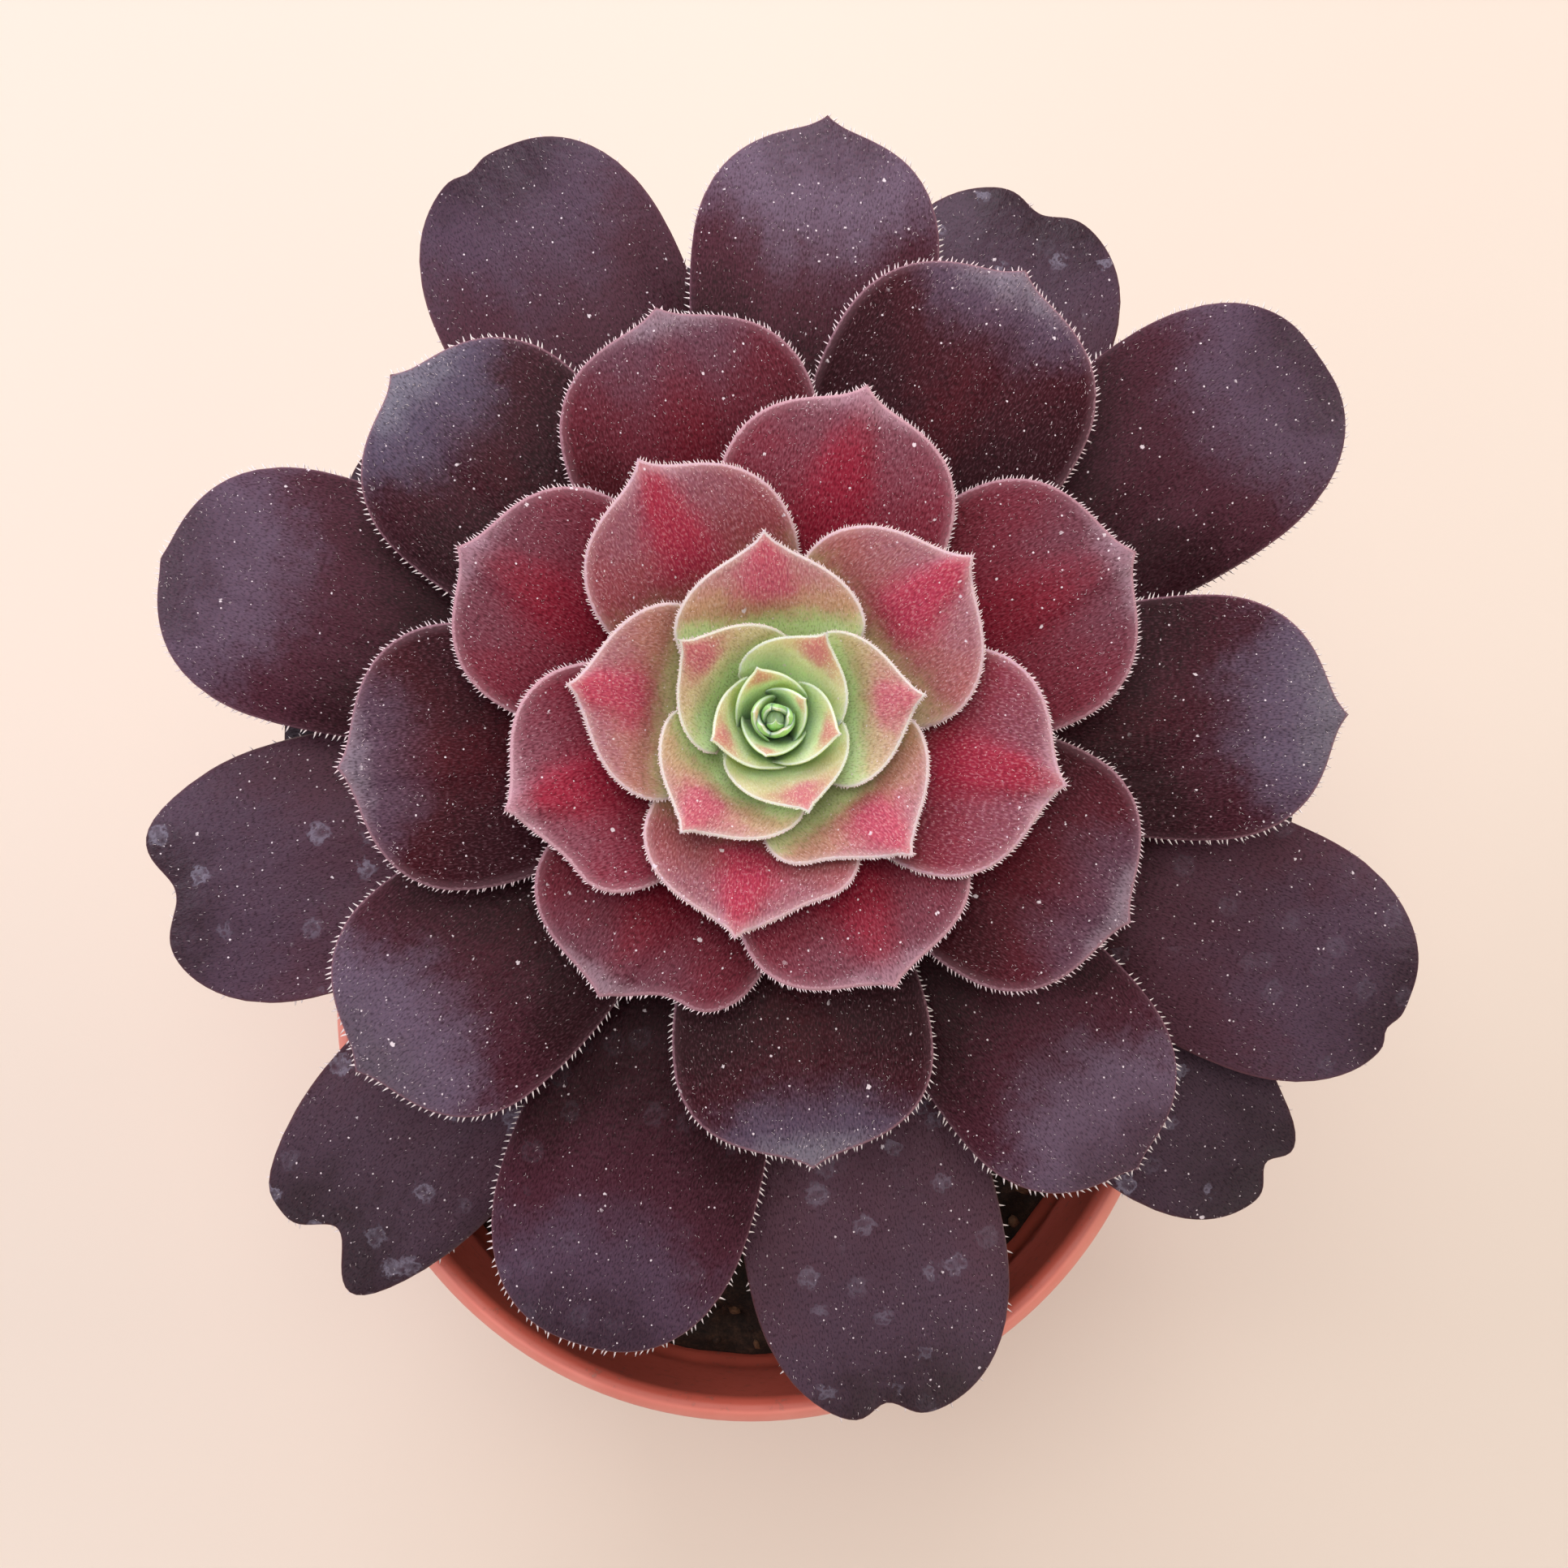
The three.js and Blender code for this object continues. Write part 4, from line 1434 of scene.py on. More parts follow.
@dataclass(frozen=True)
class LeafGrowth:
    """How leaves change with age: tables of (step, value), and what all leaves share."""

    golden_angle: float = 137.5077
    start_angle: float = 84
    base_height: float = 7.1
    internode: float = 0.455
    gap: float = 0.3
    point_width: float = 0.16
    tightest: float = 0.42
    steeper: float = 0.3
    thin: float = 0.75
    tip_height: Table = (
        (-20, -2), (-15, -0.5), (-9, 3), (-5, 8), (0, 16), (4, 22),
        (8, 26.5), (12, 29), (18, 31.2), (24, 32), (36, 31)
    )  # fmt: skip
    arch: Table = ((-20, 0.03), (-9, 0.06), (0, 0.1), (8, 0.12), (18, 0.13), (24, 0.12), (36, 0.05))
    shoulder: Table = ((-20, 0.72), (0, 0.74), (8, 0.68), (14, 0.62), (20, 0.56), (24, 0.52), (36, 0.48))
    swell: Table = ((-20, 1.5), (14, 1.5), (20, 1.35), (24, 1.25), (36, 1))
    tip_point: Table = (
        (-20, 0), (-3, 0), (0, 0.035), (8, 0.045), (14, 0.07), (20, 0.11), (24, 0.14), (36, 0.18)
    )  # fmt: skip
    roundness: Table = ((-20, 2.3), (14, 2.4), (16, 2.2), (18, 1.95), (20, 1.7), (24, 1.6), (36, 1.6))
    base_width: Table = ((-20, 7.6), (0, 7), (12, 5.4), (24, 3.6), (36, 2.4))
    thickness: Table = ((-20, 2.1), (0, 1.9), (12, 1.4), (24, 1), (36, 0.8))
    edge: Table = ((-20, 0.6), (14, 0.6), (20, 0.45), (26, 0.3), (36, 0.2))
    wave: Table = ((-20, 0.8), (-9, 0.6), (0, 0.35), (8, 0.12), (36, 0))
    roll: Table = ((-20, 5), (-9, 4), (0, 2.5), (8, 1), (36, 0))
    # The finer form: a facet pressed into the end of a leaf while it was folded in the bud,
    # a tip that turns back, margins that droop, and the dents of a leaf that has dried a bit.
    facet: Table = ((-20, 0), (0, 0.1), (8, 0.4), (14, 0.6), (24, 0.3), (36, 0.05))
    curl: Table = ((-20, 0), (0, 0.4), (10, 0.6), (24, 0.15), (36, 0))
    droop: Table = ((-20, 0.9), (0, 0.9), (8, 0.6), (14, 0.2), (36, 0))
    usual_width: float = 24  # of a leaf whose facet and curl are as the tables say
    curl_long: float = 0.07  # how much of the blade's length the curl of its tip takes up
    curl_wide: float = 0.25  # how much of its half width
    dent_wide: float = 7
    dent_long: float = 11
    nod: Table = ((-20, 0.8), (0, 1.8), (8, 1.6), (14, 0.8), (24, 0.3), (36, 0))
    dents: Table = ((-20, 0.5), (-6, 0.4), (4, 0.22), (12, 0.1), (36, 0.02))
    # The skin: how far along the blade each of its four colours is reached, the patch in its middle, how
    # deep its puckers are, and its pale rim. On the dark leaves the last two colours are partly a painted
    # sheen, which reaches less far along the sides.
    base_at: Table = (
        (-20, 0.3), (-4, 0.5), (0, 0.52), (4, 0.62), (8, 0.5),
        (11, 0.34), (14, 0.36), (20, 0.48), (26, 0.47), (34, 0.4)
    )  # fmt: skip
    middle_at: Table = (
        (-20, 0.5), (-9, 0.54), (-6, 0.58), (-4, 0.7), (0, 0.66), (5, 0.78),
        (8, 0.68), (12, 0.56), (18, 0.6), (24, 0.64), (34, 0.66)
    )  # fmt: skip
    outer_at: Table = (
        (-20, 0.78), (-4, 0.84), (0, 0.82), (4, 0.89), (8, 0.9), (14, 0.86), (24, 0.8), (34, 0.84)
    )  # fmt: skip
    end_at: Table = ((-20, 0.97), (0, 0.99), (4, 0.975), (14, 0.97), (24, 0.96), (34, 1.0))
    side_lag: Table = ((-20, 0.3), (0, 0.6), (8, 0.7), (12, 0.3), (18, 0.1), (34, 0.1))
    patch_at: Table = (
        (-20, 0.45), (0, 0.45), (8, 0.5), (12, 0.55), (15, 0.66), (19, 0.76), (24, 0.82), (34, 0.92)
    )  # fmt: skip
    patch_fade: Table = ((-20, 0.7), (13, 0.7), (16, 0.4), (34, 0.25))
    patch_long: Table = ((-20, 0.25), (8, 0.24), (13, 0.2), (20, 0.18), (34, 0.12))
    patch_wide: Table = ((-20, 0.5), (8, 0.65), (12, 0.6), (15, 0.45), (24, 0.42), (34, 0.35))
    patch_strength: Table = (
        (-20, 0.3), (0, 0.3), (6, 0.5), (9, 0.8), (12, 0.95), (18, 1.0), (24, 0.9), (30, 0.8), (34, 0.8)
    )  # fmt: skip
    puckers: Table = ((-20, 1.0), (0, 0.7), (8, 0.3), (14, 0.08), (36, 0.0))
    rim_width: Table = (
        (-20, 0.22), (-2, 0.22), (3, 0.26), (8, 0.3), (14, 0.3),
        (20, 0.22), (24, 0.15), (30, 0.1), (34, 0.08)
    )  # fmt: skip
    # Hairs: along the margin, and the down on the upper face. They are a little thicker than
    # real ones, so that they show.
    cilia_every: Table = ((-20, 0.8), (0, 0.74), (4, 0.56), (8, 0.42), (12, 0.32), (24, 0.24), (34, 0.16))
    cilia_length: Table = (
        (-20, 0.65), (0, 0.8), (4, 0.68), (9, 0.6), (14, 0.55), (24, 0.45), (30, 0.24), (34, 0.12)
    )  # fmt: skip
    cilia_thick: Table = (
        (-20, 0.14), (0, 0.14), (5, 0.115), (10, 0.1), (24, 0.075), (30, 0.045), (34, 0.025)
    )  # fmt: skip
    down_per_area: Table = ((-20, 0.2), (-3, 0.3), (2, 0.6), (6, 0.8), (14, 1.2), (24, 1.4), (34, 1.4))

    def angle(self, row: LeafRow) -> float:
        """The angle round the rosette's axis at which a leaf stands, in radians."""
        return math.radians(self.start_angle + self.golden_angle * row.step + row.turn)


@dataclass(frozen=True)
class HairHabit:
    """How a leaf's bristles and its down stand. Lengths are in millimetres."""

    stray: float = 0.3  # how far a bristle stands off its even place, by their spacing
    sway: float = 0.25  # how unevenly the bristles point
    forward: float = 0.5  # how far they lean towards the leaf's tip
    tip_calm: float = 4  # the distance from the tip within which they lean less
    upward: float = 0.15  # how far they point up
    sunk: float = 0.1  # how deep their roots stand in the margin
    worn_before: int = -4  # leaves below this step have lost bristles from their ends
    worn: float = 0.85  # the share that these have lost there
    lost: float = 0.06  # the share that every leaf has lost
    shortest: float = 0.65  # by the usual length at the leaf's age
    longest: float = 1.15
    bow: float = 0.1
    down_shortest: float = 0.15
    down_longest: float = 0.4
    down_sway: float = 0.7
    down_upward: float = 0.55
    down_forward: float = 0.6
    down_sunk: float = 0.03
    down_bow: float = 0.2
    full_width: float = 16  # narrower leaves have shorter down


@dataclass
class Leaf:
    """One leaf: a spoon-shaped fleshy blade with a hairy margin."""

    row: LeafRow
    frame: RosetteFrame
    growth: LeafGrowth = LeafGrowth()
    habit: HairHabit = HairHabit()
    seat: tuple[float, float] | None = None
    columns: int = 19
    rows: int = 34
    rim_rows: tuple[float, ...] = (0.06, 0.16, 0.3, 0.55)  # millimetres from the edge

    def __post_init__(self) -> None:
        """Works out everything that the leaf's shape follows from."""
        step, row, rule = self.row.step, self.row, self.growth

        def now(table: Table) -> float:
            """What a table gives at the leaf's step."""
            return at_step(table, step)

        self.thickness = now(rule.thickness)
        base_y = rule.base_height + rule.internode * step
        tip = np.array([row.reach, now(rule.tip_height) + row.lift])
        pitch = math.atan2(tip[1] - base_y, tip[0])
        lean = math.sin(min(pitch + rule.steeper, math.pi / 2))
        base = np.array([float(self.frame.taper(base_y)) + rule.gap + self.thickness / 2 * lean, base_y])
        chord = tip - base
        self.middle = (base + tip) / 2 + np.array([-chord[1], chord[0]]) * now(rule.arch)
        self.base = np.array(self.seat) if self.seat else base
        self.tip = tip
        self.length = float(np.linalg.norm(tip - self.base))
        self.shoulder, self.tip_point = now(rule.shoulder), now(rule.tip_point)
        self.roundness, self.swell, self.edge = now(rule.roundness), now(rule.swell), now(rule.edge)
        self.base_share = now(rule.base_width) / row.width
        self.roll = math.tan(math.radians(now(rule.roll))) * math.sin(1.7 * step)
        self.draw = np.random.default_rng(1000 + step)
        self.angle = rule.angle(row)

    def end(self, v: np.ndarray) -> np.ndarray:
        """How far the leaf reaches.

        Args:
            v: places across it, from -1 to 1.

        Returns:
            The share of its length that it reaches at each place.
        """
        rule, away = self.growth, np.abs(v)
        arc = (1 - away**self.roundness) ** (1 / self.roundness)
        end = self.shoulder + (1 - self.shoulder - self.tip_point) * arc
        end = end + self.tip_point * np.exp(-away / rule.point_width)
        for at, depth, wide in self.row.lobes:
            end = end - depth * np.exp(-(((v - at) / wide) ** 2))
        return end

    def surface(self, u: np.ndarray, v: np.ndarray) -> tuple[np.ndarray, np.ndarray, np.ndarray, np.ndarray]:
        """The blade's middle surface.

        Args:
            u: places along the blade, from 0 at its base to 1 at its end.
            v: places across it, from -1 to 1.

        Returns:
            The points, the upward normals, the share of the length that each point stands
            at, and its distance across from the middle line. All are in the leaf's own
            frame: X out, Z up.
        """
        rule, step = self.growth, self.row.step
        t = u * self.end(v)
        s = t[..., None]
        line = (1 - s) ** 2 * self.base + 2 * s * (1 - s) * self.middle + s**2 * self.tip
        along = (s - 1) * self.base + (1 - 2 * s) * self.middle + s * self.tip
        along /= np.linalg.norm(along, axis=-1, keepdims=True)
        run, climb = along[..., 0], along[..., 1]
        swell = np.sin(np.pi / 2 * u) ** self.swell
        across = v * self.row.width / 2 * (self.base_share + (1 - self.base_share) * swell)
        tight = 1 / (rule.tightest * self.row.width)
        bend = np.clip(climb / np.maximum(line[..., 0], 1), -tight, tight)
        bend = np.where(np.abs(bend) < 1e-5, 1e-5, bend)
        turn = bend * across
        # The wave and the roll are those of the CAD solid too, and the finer form is added here.
        ripple = at_step(rule.wave, step) * v * v * u * np.sin(8 * u + 2 * v + 2.1 * step)
        lift = (1 - np.cos(turn)) / bend + self.roll * across * u * u + ripple + self._finer(u, v, t, across)
        place = np.stack(
            [line[..., 0] - climb * lift, np.sin(turn) / bend, line[..., 1] + run * lift], axis=-1
        )
        normal = np.stack([-climb * np.cos(turn), -np.sin(turn), run * np.cos(turn)], axis=-1)
        return place, normal, t, across

    def _finer(self, u: np.ndarray, v: np.ndarray, t: np.ndarray, across: np.ndarray) -> np.ndarray:
        """How far the finer form lifts the surface.

        Args:
            u: places along the blade, from 0 at its base to 1 at its end.
            v: places across it, from -1 to 1.
            t: the share of the length that each place stands at.
            across: its distance from the middle line.

        Returns:
            The lift at each place.
        """
        rule, step = self.growth, self.row.step
        scale = self.row.width / rule.usual_width
        half = 0.12 + 0.5 * np.clip(1 - t, 0, 1)
        facet = at_step(rule.facet, step) * scale * smooth(0.45, 0.85, t)
        facet = facet * (1 - smooth(0.55, 1.0, np.abs(v) / half))
        curl = at_step(rule.curl, step) * scale * np.exp(-(1 - t) / rule.curl_long)
        curl = curl * np.exp(-((v / rule.curl_wide) ** 2))
        droop = at_step(rule.droop, step) * np.abs(v) ** 3 * u
        droop = droop + at_step(rule.nod, step) * smooth(0.5, 1.25, t) * 2
        wide, long = across.ravel() / rule.dent_wide, t.ravel() * self.length / rule.dent_long
        places = np.stack([wide, long, np.full(t.size, step * 3.7)], axis=1)
        dents = rough_ground(places, 1.0).reshape(t.shape) * at_step(rule.dents, step) * smooth(0.1, 0.4, u)
        return facet - curl - droop + dents

    def margin(self, count: int) -> tuple[np.ndarray, np.ndarray, np.ndarray]:
        """The leaf's edge, from its base round its end and back to its base.

        Args:
            count: how many points each side has. The end has about twice as many.

        Returns:
            Its points, their normals, and their places along the blade, from 0 to 1.
        """
        side = np.linspace(0.02, 1, count)
        arc = np.sin(np.linspace(-1, 1, 2 * count) * np.pi / 2)
        u = np.concatenate([side, np.ones(2 * count - 2), side[::-1]])
        v = np.concatenate([-np.ones(count), arc[1:-1], np.ones(count)])
        place, normal, _, _ = self.surface(u, v)
        return place, normal, u

    def world(self, points: np.ndarray) -> np.ndarray:
        """Points of the leaf's own frame in the frame of the plant."""
        return self.frame.world(self._turned(points))

    def _turned(self, points: np.ndarray) -> np.ndarray:
        """Points or directions turned to where the leaf stands round the rosette's axis."""
        c, s = math.cos(self.angle), math.sin(self.angle)
        return points @ np.array([[c, s, 0], [-s, c, 0], [0, 0, 1]])

    def direction(self, vectors: np.ndarray) -> np.ndarray:
        """Directions of the leaf's own frame in the frame of the plant."""
        return self._turned(vectors) @ self.frame.turn.T

    def _grid(self) -> tuple[np.ndarray, np.ndarray]:
        """Where the blade has points: closer together near its margin and its middle.

        Returns:
            The places along it, from 0 to 1, and across it, from -1 to 1.
        """
        rim = np.array(self.rim_rows)
        near_end = 1 - rim[::-1] / self.length
        along = np.concatenate([np.linspace(0, near_end[0] - 0.015, self.rows) ** 0.95, near_end, [1.0]])
        near_side = 1 - rim[::-1] / (self.row.width / 2)
        inner = np.linspace(0, 1, self.columns) ** 1.25 * (near_side[0] - 0.02)
        half = np.concatenate([inner, near_side, [1.0]])
        return along, np.concatenate([-half[:0:-1], half])

    def half_thickness(self, u: np.ndarray, v: np.ndarray) -> np.ndarray:
        """Half the blade's thickness, before its margin is rounded.

        Args:
            u: places along the blade, from 0 at its base to 1 at its end.
            v: places across it, from -1 to 1.

        Returns:
            Half the thickness at each place.
        """
        body = self.thickness * (1 + (self.growth.thin - 1) * u)
        return (body + (self.edge - body) * v * v) / 2

    def body(self) -> Body:
        """Makes the closed blade with its marks.

        Returns:
            The blade, in the frame of the plant.
        """
        along, across = self._grid()
        u, v = np.meshgrid(along, across, indexing="ij")
        place, normal, t, side = self.surface(u, v)
        on_margin = (np.abs(v) == 1) | (u == 1)
        inwards = distance_to_line(place.reshape(-1, 3), self.margin(60)[0]).reshape(u.shape)
        edge = np.where(on_margin, 0, inwards)
        near = np.clip(edge / (0.5 * self.edge), 0, 1)
        lip = self.edge / 2
        half = lip + (self.half_thickness(u, v) - lip) * smooth(-0.02, 0.1, edge / self.row.width)
        half = half * np.sqrt(1 - (1 - near) ** 2)
        offset = normal * half[..., None]
        upper, lower = place + offset, place - offset

        count = u.size
        top = np.arange(count).reshape(u.shape)
        low = np.where(on_margin, top, 0)
        low[~on_margin] = count + np.arange(int((~on_margin).sum()))
        faces = blade_faces(top, low)
        points = np.concatenate([upper.reshape(-1, 3), lower[~on_margin]])

        def both(values: np.ndarray) -> np.ndarray:
            """The values of the upper face's points, and then of the lower face's."""
            lower_values = values[~on_margin].reshape(-1, values[0, 0].size)
            return np.concatenate([values.reshape(count, -1), lower_values])

        zone = both(self._zones(v, t, edge))
        where = both(np.stack([side, t * self.length, np.full(t.shape, self.row.step * 7.0)], axis=-1))
        old = np.zeros((len(points), 3))
        old[:, 0] = self.row.stains
        old[count:, 1] = 1
        old[:, 2] = at_step(self.growth.puckers, self.row.step)
        age = np.full(len(points), age_of(self.row.step))
        return Body(self.world(points), faces, {"age": age, "zone": zone, "where": where, "old": old})

    def _zones(self, v: np.ndarray, t: np.ndarray, edge: np.ndarray) -> np.ndarray:
        """How each point is coloured.

        Args:
            v: its place across the blade.
            t: the share of the length that it stands at.
            edge: its distance from the edge.

        Returns:
            Where it stands between the blade's four colours, from 0 to 3, how much of the
            patch it has, and its distance from the edge by the width of the pale rim.
        """
        rule, step = self.growth, self.row.step
        places = [at_step(rows, step) for rows in (rule.base_at, rule.middle_at, rule.outer_at, rule.end_at)]
        along = np.interp(t, places, range(4)) - at_step(rule.side_lag, step) * smooth(0.3, 0.85, np.abs(v))
        at, long = at_step(rule.patch_at, step), at_step(rule.patch_long, step)
        inner = at - long
        wide = at_step(rule.patch_wide, step) * (1.2 - 0.95 * np.clip((t - inner) / (1 - inner), 0, 1))
        faded = at_step(rule.patch_fade, step)
        patch = smooth(inner - 0.1, at - 0.3 * long, t) * (1 - faded * smooth(at + long * 0.7, 1, t))
        patch = patch * np.exp(-((v / wide) ** 2)) * at_step(rule.patch_strength, step)
        return np.stack([along, patch, edge / at_step(rule.rim_width, step)], axis=-1)

    def hairs(self) -> Body:
        """The cilia along the margin and the down on the upper face."""
        return Body.joined([self._cilia(), self._down()])

    def _cilia(self) -> Body:
        """The bristles that fringe the margin. Old leaves have lost them from their ends.

        Returns:
            The bristles, in the frame of the plant.
        """
        habit = self.habit
        place, normal, u = self.margin(90)
        length = np.concatenate([[0], np.cumsum(np.linalg.norm(np.diff(place, axis=0), axis=1))])
        every = at_step(self.growth.cilia_every, self.row.step)
        at = np.arange(0.4 * every, length[-1], every)
        at = at + self.draw.uniform(-habit.stray, habit.stray, len(at)) * every
        at = np.clip(at, 0, length[-1])

        def along(values: np.ndarray) -> np.ndarray:
            """Values of the edge's points at the places where the bristles stand."""
            return np.stack([np.interp(at, length, values[:, k]) for k in range(3)], axis=1)

        tangent = np.gradient(place, axis=0)
        tangent /= np.maximum(np.linalg.norm(tangent, axis=1, keepdims=True), 1e-9)
        outward = np.cross(tangent, normal)
        root, out, up, run = along(place), along(outward), along(normal), along(tangent)
        sway = self.draw.normal(0, habit.sway, (len(at), 2))
        to_tip = habit.forward * np.clip((length[-1] / 2 - at) / habit.tip_calm, -1, 1)[:, None]
        aim = out + run * (to_tip + sway[:, :1]) + up * (habit.upward + 0.6 * sway[:, 1:])
        place_u = np.interp(at, length, u)
        worn = np.where(self.row.step < habit.worn_before, smooth(0.75, 1.0, place_u), 0) * habit.worn
        kept = self.draw.uniform(0, 1, len(at)) > np.maximum(worn, habit.lost)
        long = self.draw.uniform(habit.shortest, habit.longest, len(at))
        long = at_step(self.growth.cilia_length, self.row.step) * long
        thick = at_step(self.growth.cilia_thick, self.row.step) * (0.6 + 0.6 * long / long.max())
        root = self.world((root - out * habit.sunk)[kept])
        return bristles(root, self.direction(aim[kept]), long[kept], thick[kept], habit.bow)

    def _down(self) -> Body:
        """The short soft hairs on the upper face, which lean towards the tip.

        Returns:
            The hairs, in the frame of the plant.
        """
        habit = self.habit
        area = 0.75 * self.length * self.row.width
        count = max(8, int(area * at_step(self.growth.down_per_area, self.row.step)))
        u = np.sqrt(self.draw.uniform(0.08, 0.995, count))
        v = self.draw.uniform(-0.97, 0.97, count)
        place, normal, _, _ = self.surface(u, v)
        ahead, _, _, _ = self.surface(np.minimum(u + 0.01, 1), v)
        lean = ahead - place
        lean /= np.maximum(np.linalg.norm(lean, axis=1, keepdims=True), 1e-9)
        side = np.cross(normal, lean)
        sway = self.draw.normal(0, habit.down_sway, (count, 1))
        root = place + normal * (self.half_thickness(u, v) - habit.down_sunk)[:, None]
        small = min(1.0, self.row.width / habit.full_width)
        long = self.draw.uniform(habit.down_shortest, habit.down_longest, count) * small
        aim = normal * habit.down_upward + lean * habit.down_forward + side * sway
        thick = np.full(count, 0.02 * small + 0.004)
        return bristles(self.world(root), self.direction(aim), long, thick, habit.down_bow)


def distance_to_line(points: np.ndarray, line: np.ndarray) -> np.ndarray:
    """The distance of points from a line of straight stretches.

    Args:
        points: the points.
        line: the line's corners.

    Returns:
        The distance of each point.
    """
    start, stretch = line[:-1], np.diff(line, axis=0)
    squared = np.maximum((stretch**2).sum(axis=1), 1e-12)
    best = np.full(len(points), np.inf)
    for a, d, n in zip(start, stretch, squared):
        share = np.clip((points - a) @ d / n, 0, 1)
        gap = points - a - share[:, None] * d
        best = np.minimum(best, (gap**2).sum(axis=1))
    return np.sqrt(best)


def blade_faces(top: np.ndarray, low: np.ndarray) -> list[Face]:
    """The faces of a closed blade.

    Args:
        top: the point numbers of its upper face, row by row from its base to its end.
        low: those of its lower face, which has the same points along the margin.

    Returns:
        The faces of both sides and of the cut base, all turned outwards.
    """
    faces: list[Face] = []
    for sheet, flipped in ((top, False), (low, True)):
        a, b, c, d = sheet[:-1, :-1], sheet[1:, :-1], sheet[1:, 1:], sheet[:-1, 1:]
        corners = (a, d, c, b) if flipped else (a, b, c, d)
        faces += [tuple(int(i) for i in quad) for quad in np.stack([k.ravel() for k in corners], axis=1)]
    for k in range(top.shape[1] - 1):
        ring = (top[0, k], top[0, k + 1], low[0, k + 1], low[0, k])
        faces.append(tuple(dict.fromkeys(int(i) for i in ring)))
    return faces


def bristles(
    roots: np.ndarray,
    aims: np.ndarray,
    lengths: np.ndarray,
    radii: np.ndarray,
    bow: float,
) -> Body:
    """Many thin three-sided hairs as one body.

    Args:
        roots: where each hair stands.
        aims: where each hair points, of any length.
        lengths: how long each hair is.
        radii: how thick each hair is at its root.
        bow: how far a hair's middle stands off its straight line, by its length.

    Returns:
        The hairs, with the mark `out` from 0 at a root to 1 at a tip.
    """
    aims = aims / np.maximum(np.linalg.norm(aims, axis=1, keepdims=True), 1e-9)
    helper = np.where(np.abs(aims[:, 2:]) < 0.9, [[0.0, 0, 1]], [[1.0, 0, 0]])
    first = np.cross(aims, helper)
    first /= np.linalg.norm(first, axis=1, keepdims=True)
    second = np.cross(aims, first)
    middle = roots + aims * (0.55 * lengths)[:, None] + second * (bow * lengths)[:, None]
    tip = roots + aims * lengths[:, None]
    count = len(roots)
    corners = []
    for centre, share in ((roots, 1.0), (middle, 0.6)):
        for k in range(HAIR_SIDES):
            angle = 2 * math.pi * k / HAIR_SIDES
            offset = first * math.cos(angle) + second * math.sin(angle)
            corners.append(centre + offset * (radii * share)[:, None])
    points = np.stack([*corners, tip], axis=1).reshape(-1, 3)
    sides, each = HAIR_SIDES, 2 * HAIR_SIDES + 1
    pattern = [(k, (k + 1) % sides, sides + (k + 1) % sides, sides + k) for k in range(sides)]
    pattern += [(sides + k, sides + (k + 1) % sides, each - 1) for k in range(sides)]
    faces = [tuple(each * i + k for k in face) for i in range(count) for face in pattern]
    out = [0.0] * sides + [0.5] * sides + [1.0]
    return Body(points, faces, {"out": np.tile(out, count)})


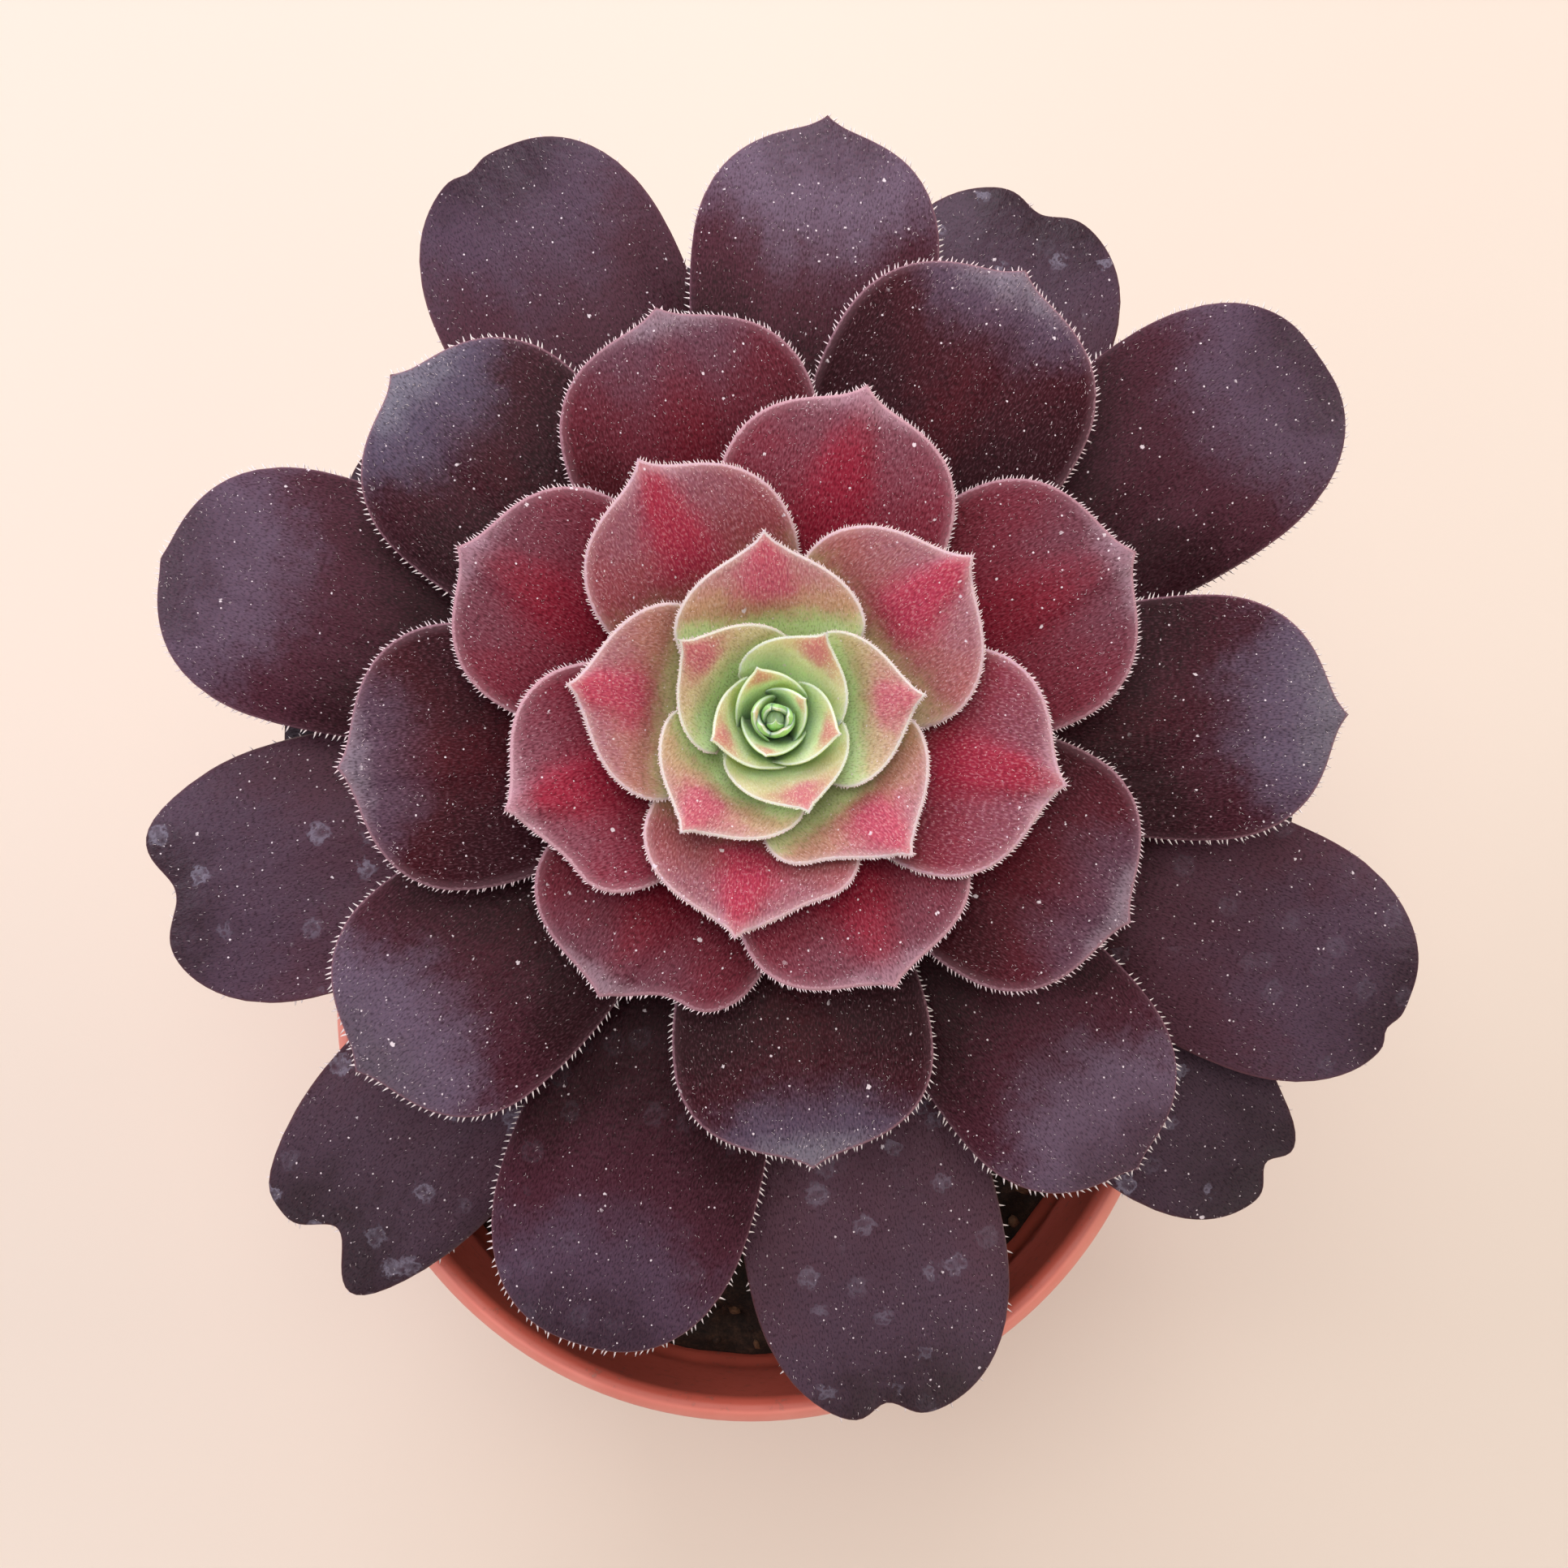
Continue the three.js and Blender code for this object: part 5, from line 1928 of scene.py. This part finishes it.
@dataclass
class Rosette:
    """All the leaves, from the oldest at the bottom to the heart round the growing tip."""

    frame: RosetteFrame
    bud_height: float = 8.8
    bud_radius: float = 0.9
    bud_dome: float = 0.8
    bud_sides: int = 24
    pinhole: float = 0.02  # the radius at the bud's top, which a cap closes
    low_seat: float = 0.8
    high_seat: float = 4
    wide_seat: float = 2.2
    narrow_seat: float = 0.4
    least_seat: float = 0.2
    heart_columns: int = 14
    heart_rows: int = 22

    def build(self) -> None:
        """Makes and dresses the leaves, the heart, and the hairs of each class of leaf."""
        skins = {growth: skin.material() for growth, skin in SKINS.items()}
        hairs: dict[Growth, list[Body]] = {growth: [] for growth in Growth}
        for number, row in enumerate(LEAVES, start=1):
            leaf, growth = Leaf(row, self.frame), Growth.at(row.step)
            node = f"leaf_{number:02d}"
            piece = leaf.body().piece(f"{node}_blade", skins[growth])
            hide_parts(node)
            growth.slot
            hairs[growth].append(leaf.hairs())
        heart = self._heart_leaves()
        bodies = [leaf.body() for leaf in heart]
        piece = Body.joined([*bodies, self._bud()]).piece("heart_leaves", skins[Growth.GREEN])
        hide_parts("heart")
        Growth.GREEN.slot
        hairs[Growth.GREEN] = [leaf.hairs() for leaf in heart]
        for growth, bodies in hairs.items():
            piece = Body.joined(bodies).piece(f"hairs_{growth.slot}", HAIRS[growth].material())
            growth.slot

    def _heart_leaves(self) -> list[Leaf]:
        """The youngest leaves, seated on the growing tip.

        Returns:
            The leaves, from the oldest to the youngest.
        """
        foot = self.frame.crown + LeafGrowth().gap
        leaves = []
        for i, row in enumerate(HEART + BUD):
            inward = i / len(HEART)
            out = self.wide_seat + (self.narrow_seat - self.wide_seat) * inward
            up = foot + self.low_seat + (self.high_seat - self.low_seat) * inward
            leaves.append(
                Leaf(
                    row,
                    self.frame,
                    seat=(max(out, self.least_seat), up),
                    columns=self.heart_columns,
                    rows=self.heart_rows,
                )
            )
        return leaves

    def _bud(self) -> Body:
        """The growing tip: a blunt green cone that closes the middle of the heart.

        Returns:
            The cone, in the frame of the plant.
        """
        foot = self.frame.crown + LeafGrowth().gap
        arc = np.linspace(0, np.pi / 2, 7)[1:]
        section = [(self.frame.crown_radius, 0.0), (self.bud_radius, self.bud_height - self.bud_dome)]
        for a in arc:
            radius = self.bud_radius * math.cos(a) + self.pinhole
            section.append((radius, self.bud_height - self.bud_dome * (1 - math.sin(a))))
        angles = np.linspace(0, 2 * np.pi, self.bud_sides, endpoint=False)
        points = np.array([(r * np.cos(a), r * np.sin(a), foot + z) for r, z in section for a in angles])
        # Its skin is that of the youngest leaf near its base, far from any patch or margin, which is painted
        # lighter than the skin is, as painted light.
        marks = {
            "age": np.full(len(points), age_of(YOUNGEST)),
            "zone": np.tile([0.5, 0.0, 9.0], (len(points), 1)),
            "where": points,
            "old": np.zeros((len(points), 3)),
        }
        return Body(self.frame.world(points), tube_faces(len(section), self.bud_sides), marks)


# ---- Studio ----------------------------------------------------------------------


@dataclass
class Studio:
    """A plain pale floor, soft light from above and from all round, and the camera."""

    camera_place: tuple[float, float, float] = (4.062, -8.19, 337.19)
    camera_tilt: float = 8
    focal_length: float = 44.72
    sensor: float = 36
    nearest: float = 10
    farthest: float = 50000
    aim: tuple[float, float, float] = (0, 10, 100)  # where every softbox points
    floor_size: float = 6000
    floor_colour: str = "#d8cabb"
    floor_tooth: float = 0.8  # millimetres across the grain of the paper
    sky_colour: str = "#f4f2f6"
    sky_strength: float = 0.16
    # Each softbox: its name, place, the length of its side, its power and its colour.
    softboxes: tuple[tuple[str, tuple[float, float, float], float, float, str], ...] = (
        ("softbox_top", (-40, 120, 980), 520, 4.2, "#fff9f2"),
        ("softbox_back", (-60, 640, 520), 480, 4.2, "#f6f4ff"),
        ("softbox_left", (-640, 180, 480), 420, 2.8, "#f6f4ff"),
        ("softbox_right", (640, 180, 480), 420, 2.2, "#fff8f2"),
        ("softbox_front_left", (-420, -560, 460), 380, 1.2, "#f8f4ff"),
        ("softbox_front_right", (420, -560, 460), 380, 1.2, "#fff6ee"),
    )

    def build(self) -> None:
        """Sets up the floor, the lights, the surroundings and the camera."""
        self._floor()
        for name, place, size, power, colour in self.softboxes:
            self._light(name, place, size, power, colour)
        world = bpy.data.worlds.new("studio")
        world.use_nodes = True
        back = world.node_tree.nodes["Background"]
        back.inputs["Color"].default_value = linear(self.sky_colour)
        back.inputs["Strength"].default_value = self.sky_strength
        bpy.context.scene.world = world
        data = bpy.data.cameras.new("photo_camera")
        data.lens, data.sensor_width = self.focal_length, self.sensor
        data.clip_start, data.clip_end = self.nearest * MM, self.farthest * MM
        camera = bpy.data.objects.new("photo_camera", data)
        camera.location = Vector(self.camera_place) * MM
        camera.rotation_euler = (math.radians(self.camera_tilt), 0, 0)
        bpy.context.scene.collection.objects.link(camera)
        bpy.context.scene.camera = camera
        bpy.context.scene.view_settings.view_transform = "Standard"

    def _floor(self) -> None:
        """The floor that the pot stands on."""
        half = self.floor_size / 2 * MM
        mesh = bpy.data.meshes.new("studio_floor")
        corners = [(-half, -half, 0), (half, -half, 0), (half, half, 0), (-half, half, 0)]
        mesh.from_pydata(corners, [], [(0, 1, 2, 3)])
        material, tree = new_material("matt_paper")
        place = add_node(tree, "TexCoord").outputs["Object"]
        tooth = add_node(
            tree, "TexNoise", {"Vector": place, "Scale": per_metre(self.floor_tooth), "Detail": 3}
        )
        relief = add_node(tree, "Bump", {"Strength": 0.1, "Distance": 0.1 * MM, "Height": tooth.outputs[0]})
        shader = add_node(
            tree,
            "BsdfPrincipled",
            {"Base Color": linear(self.floor_colour), "Roughness": 0.9, "Normal": relief.outputs[0]},
        )
        add_node(tree, "OutputMaterial", {"Surface": shader.outputs[0]})
        mesh.materials.append(material)
        floor = bpy.data.objects.new("studio_floor", mesh)
        bpy.context.scene.collection.objects.link(floor)

    def _light(
        self, name: str, place: tuple[float, float, float], size: float, power: float, colour: str
    ) -> None:
        """A square soft light that faces the plant.

        Args:
            name: the light's name.
            place: where it stands.
            size: the length of its side.
            power: its power in watts.
            colour: its colour.
        """
        data = bpy.data.lights.new(name, "AREA")
        data.size, data.energy, data.color = size * MM, power, linear(colour)[:3]
        light = bpy.data.objects.new(name, data)
        light.location = Vector(place) * MM
        aim = Vector(self.aim) * MM - light.location
        light.rotation_euler = aim.to_track_quat("-Z", "Y").to_euler()
        bpy.context.scene.collection.objects.link(light)


def main() -> None:
    """Builds the plant in order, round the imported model."""
    logging.basicConfig(level=logging.INFO, format="%(name)s: %(message)s")
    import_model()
    Studio().build()
    pot = Pot()
    pot.build()
    Soil(pot).build()
    frame = RosetteFrame()
    Stem(frame).build()
    Rosette(frame).build()


if __name__ == "__main__":
    main()
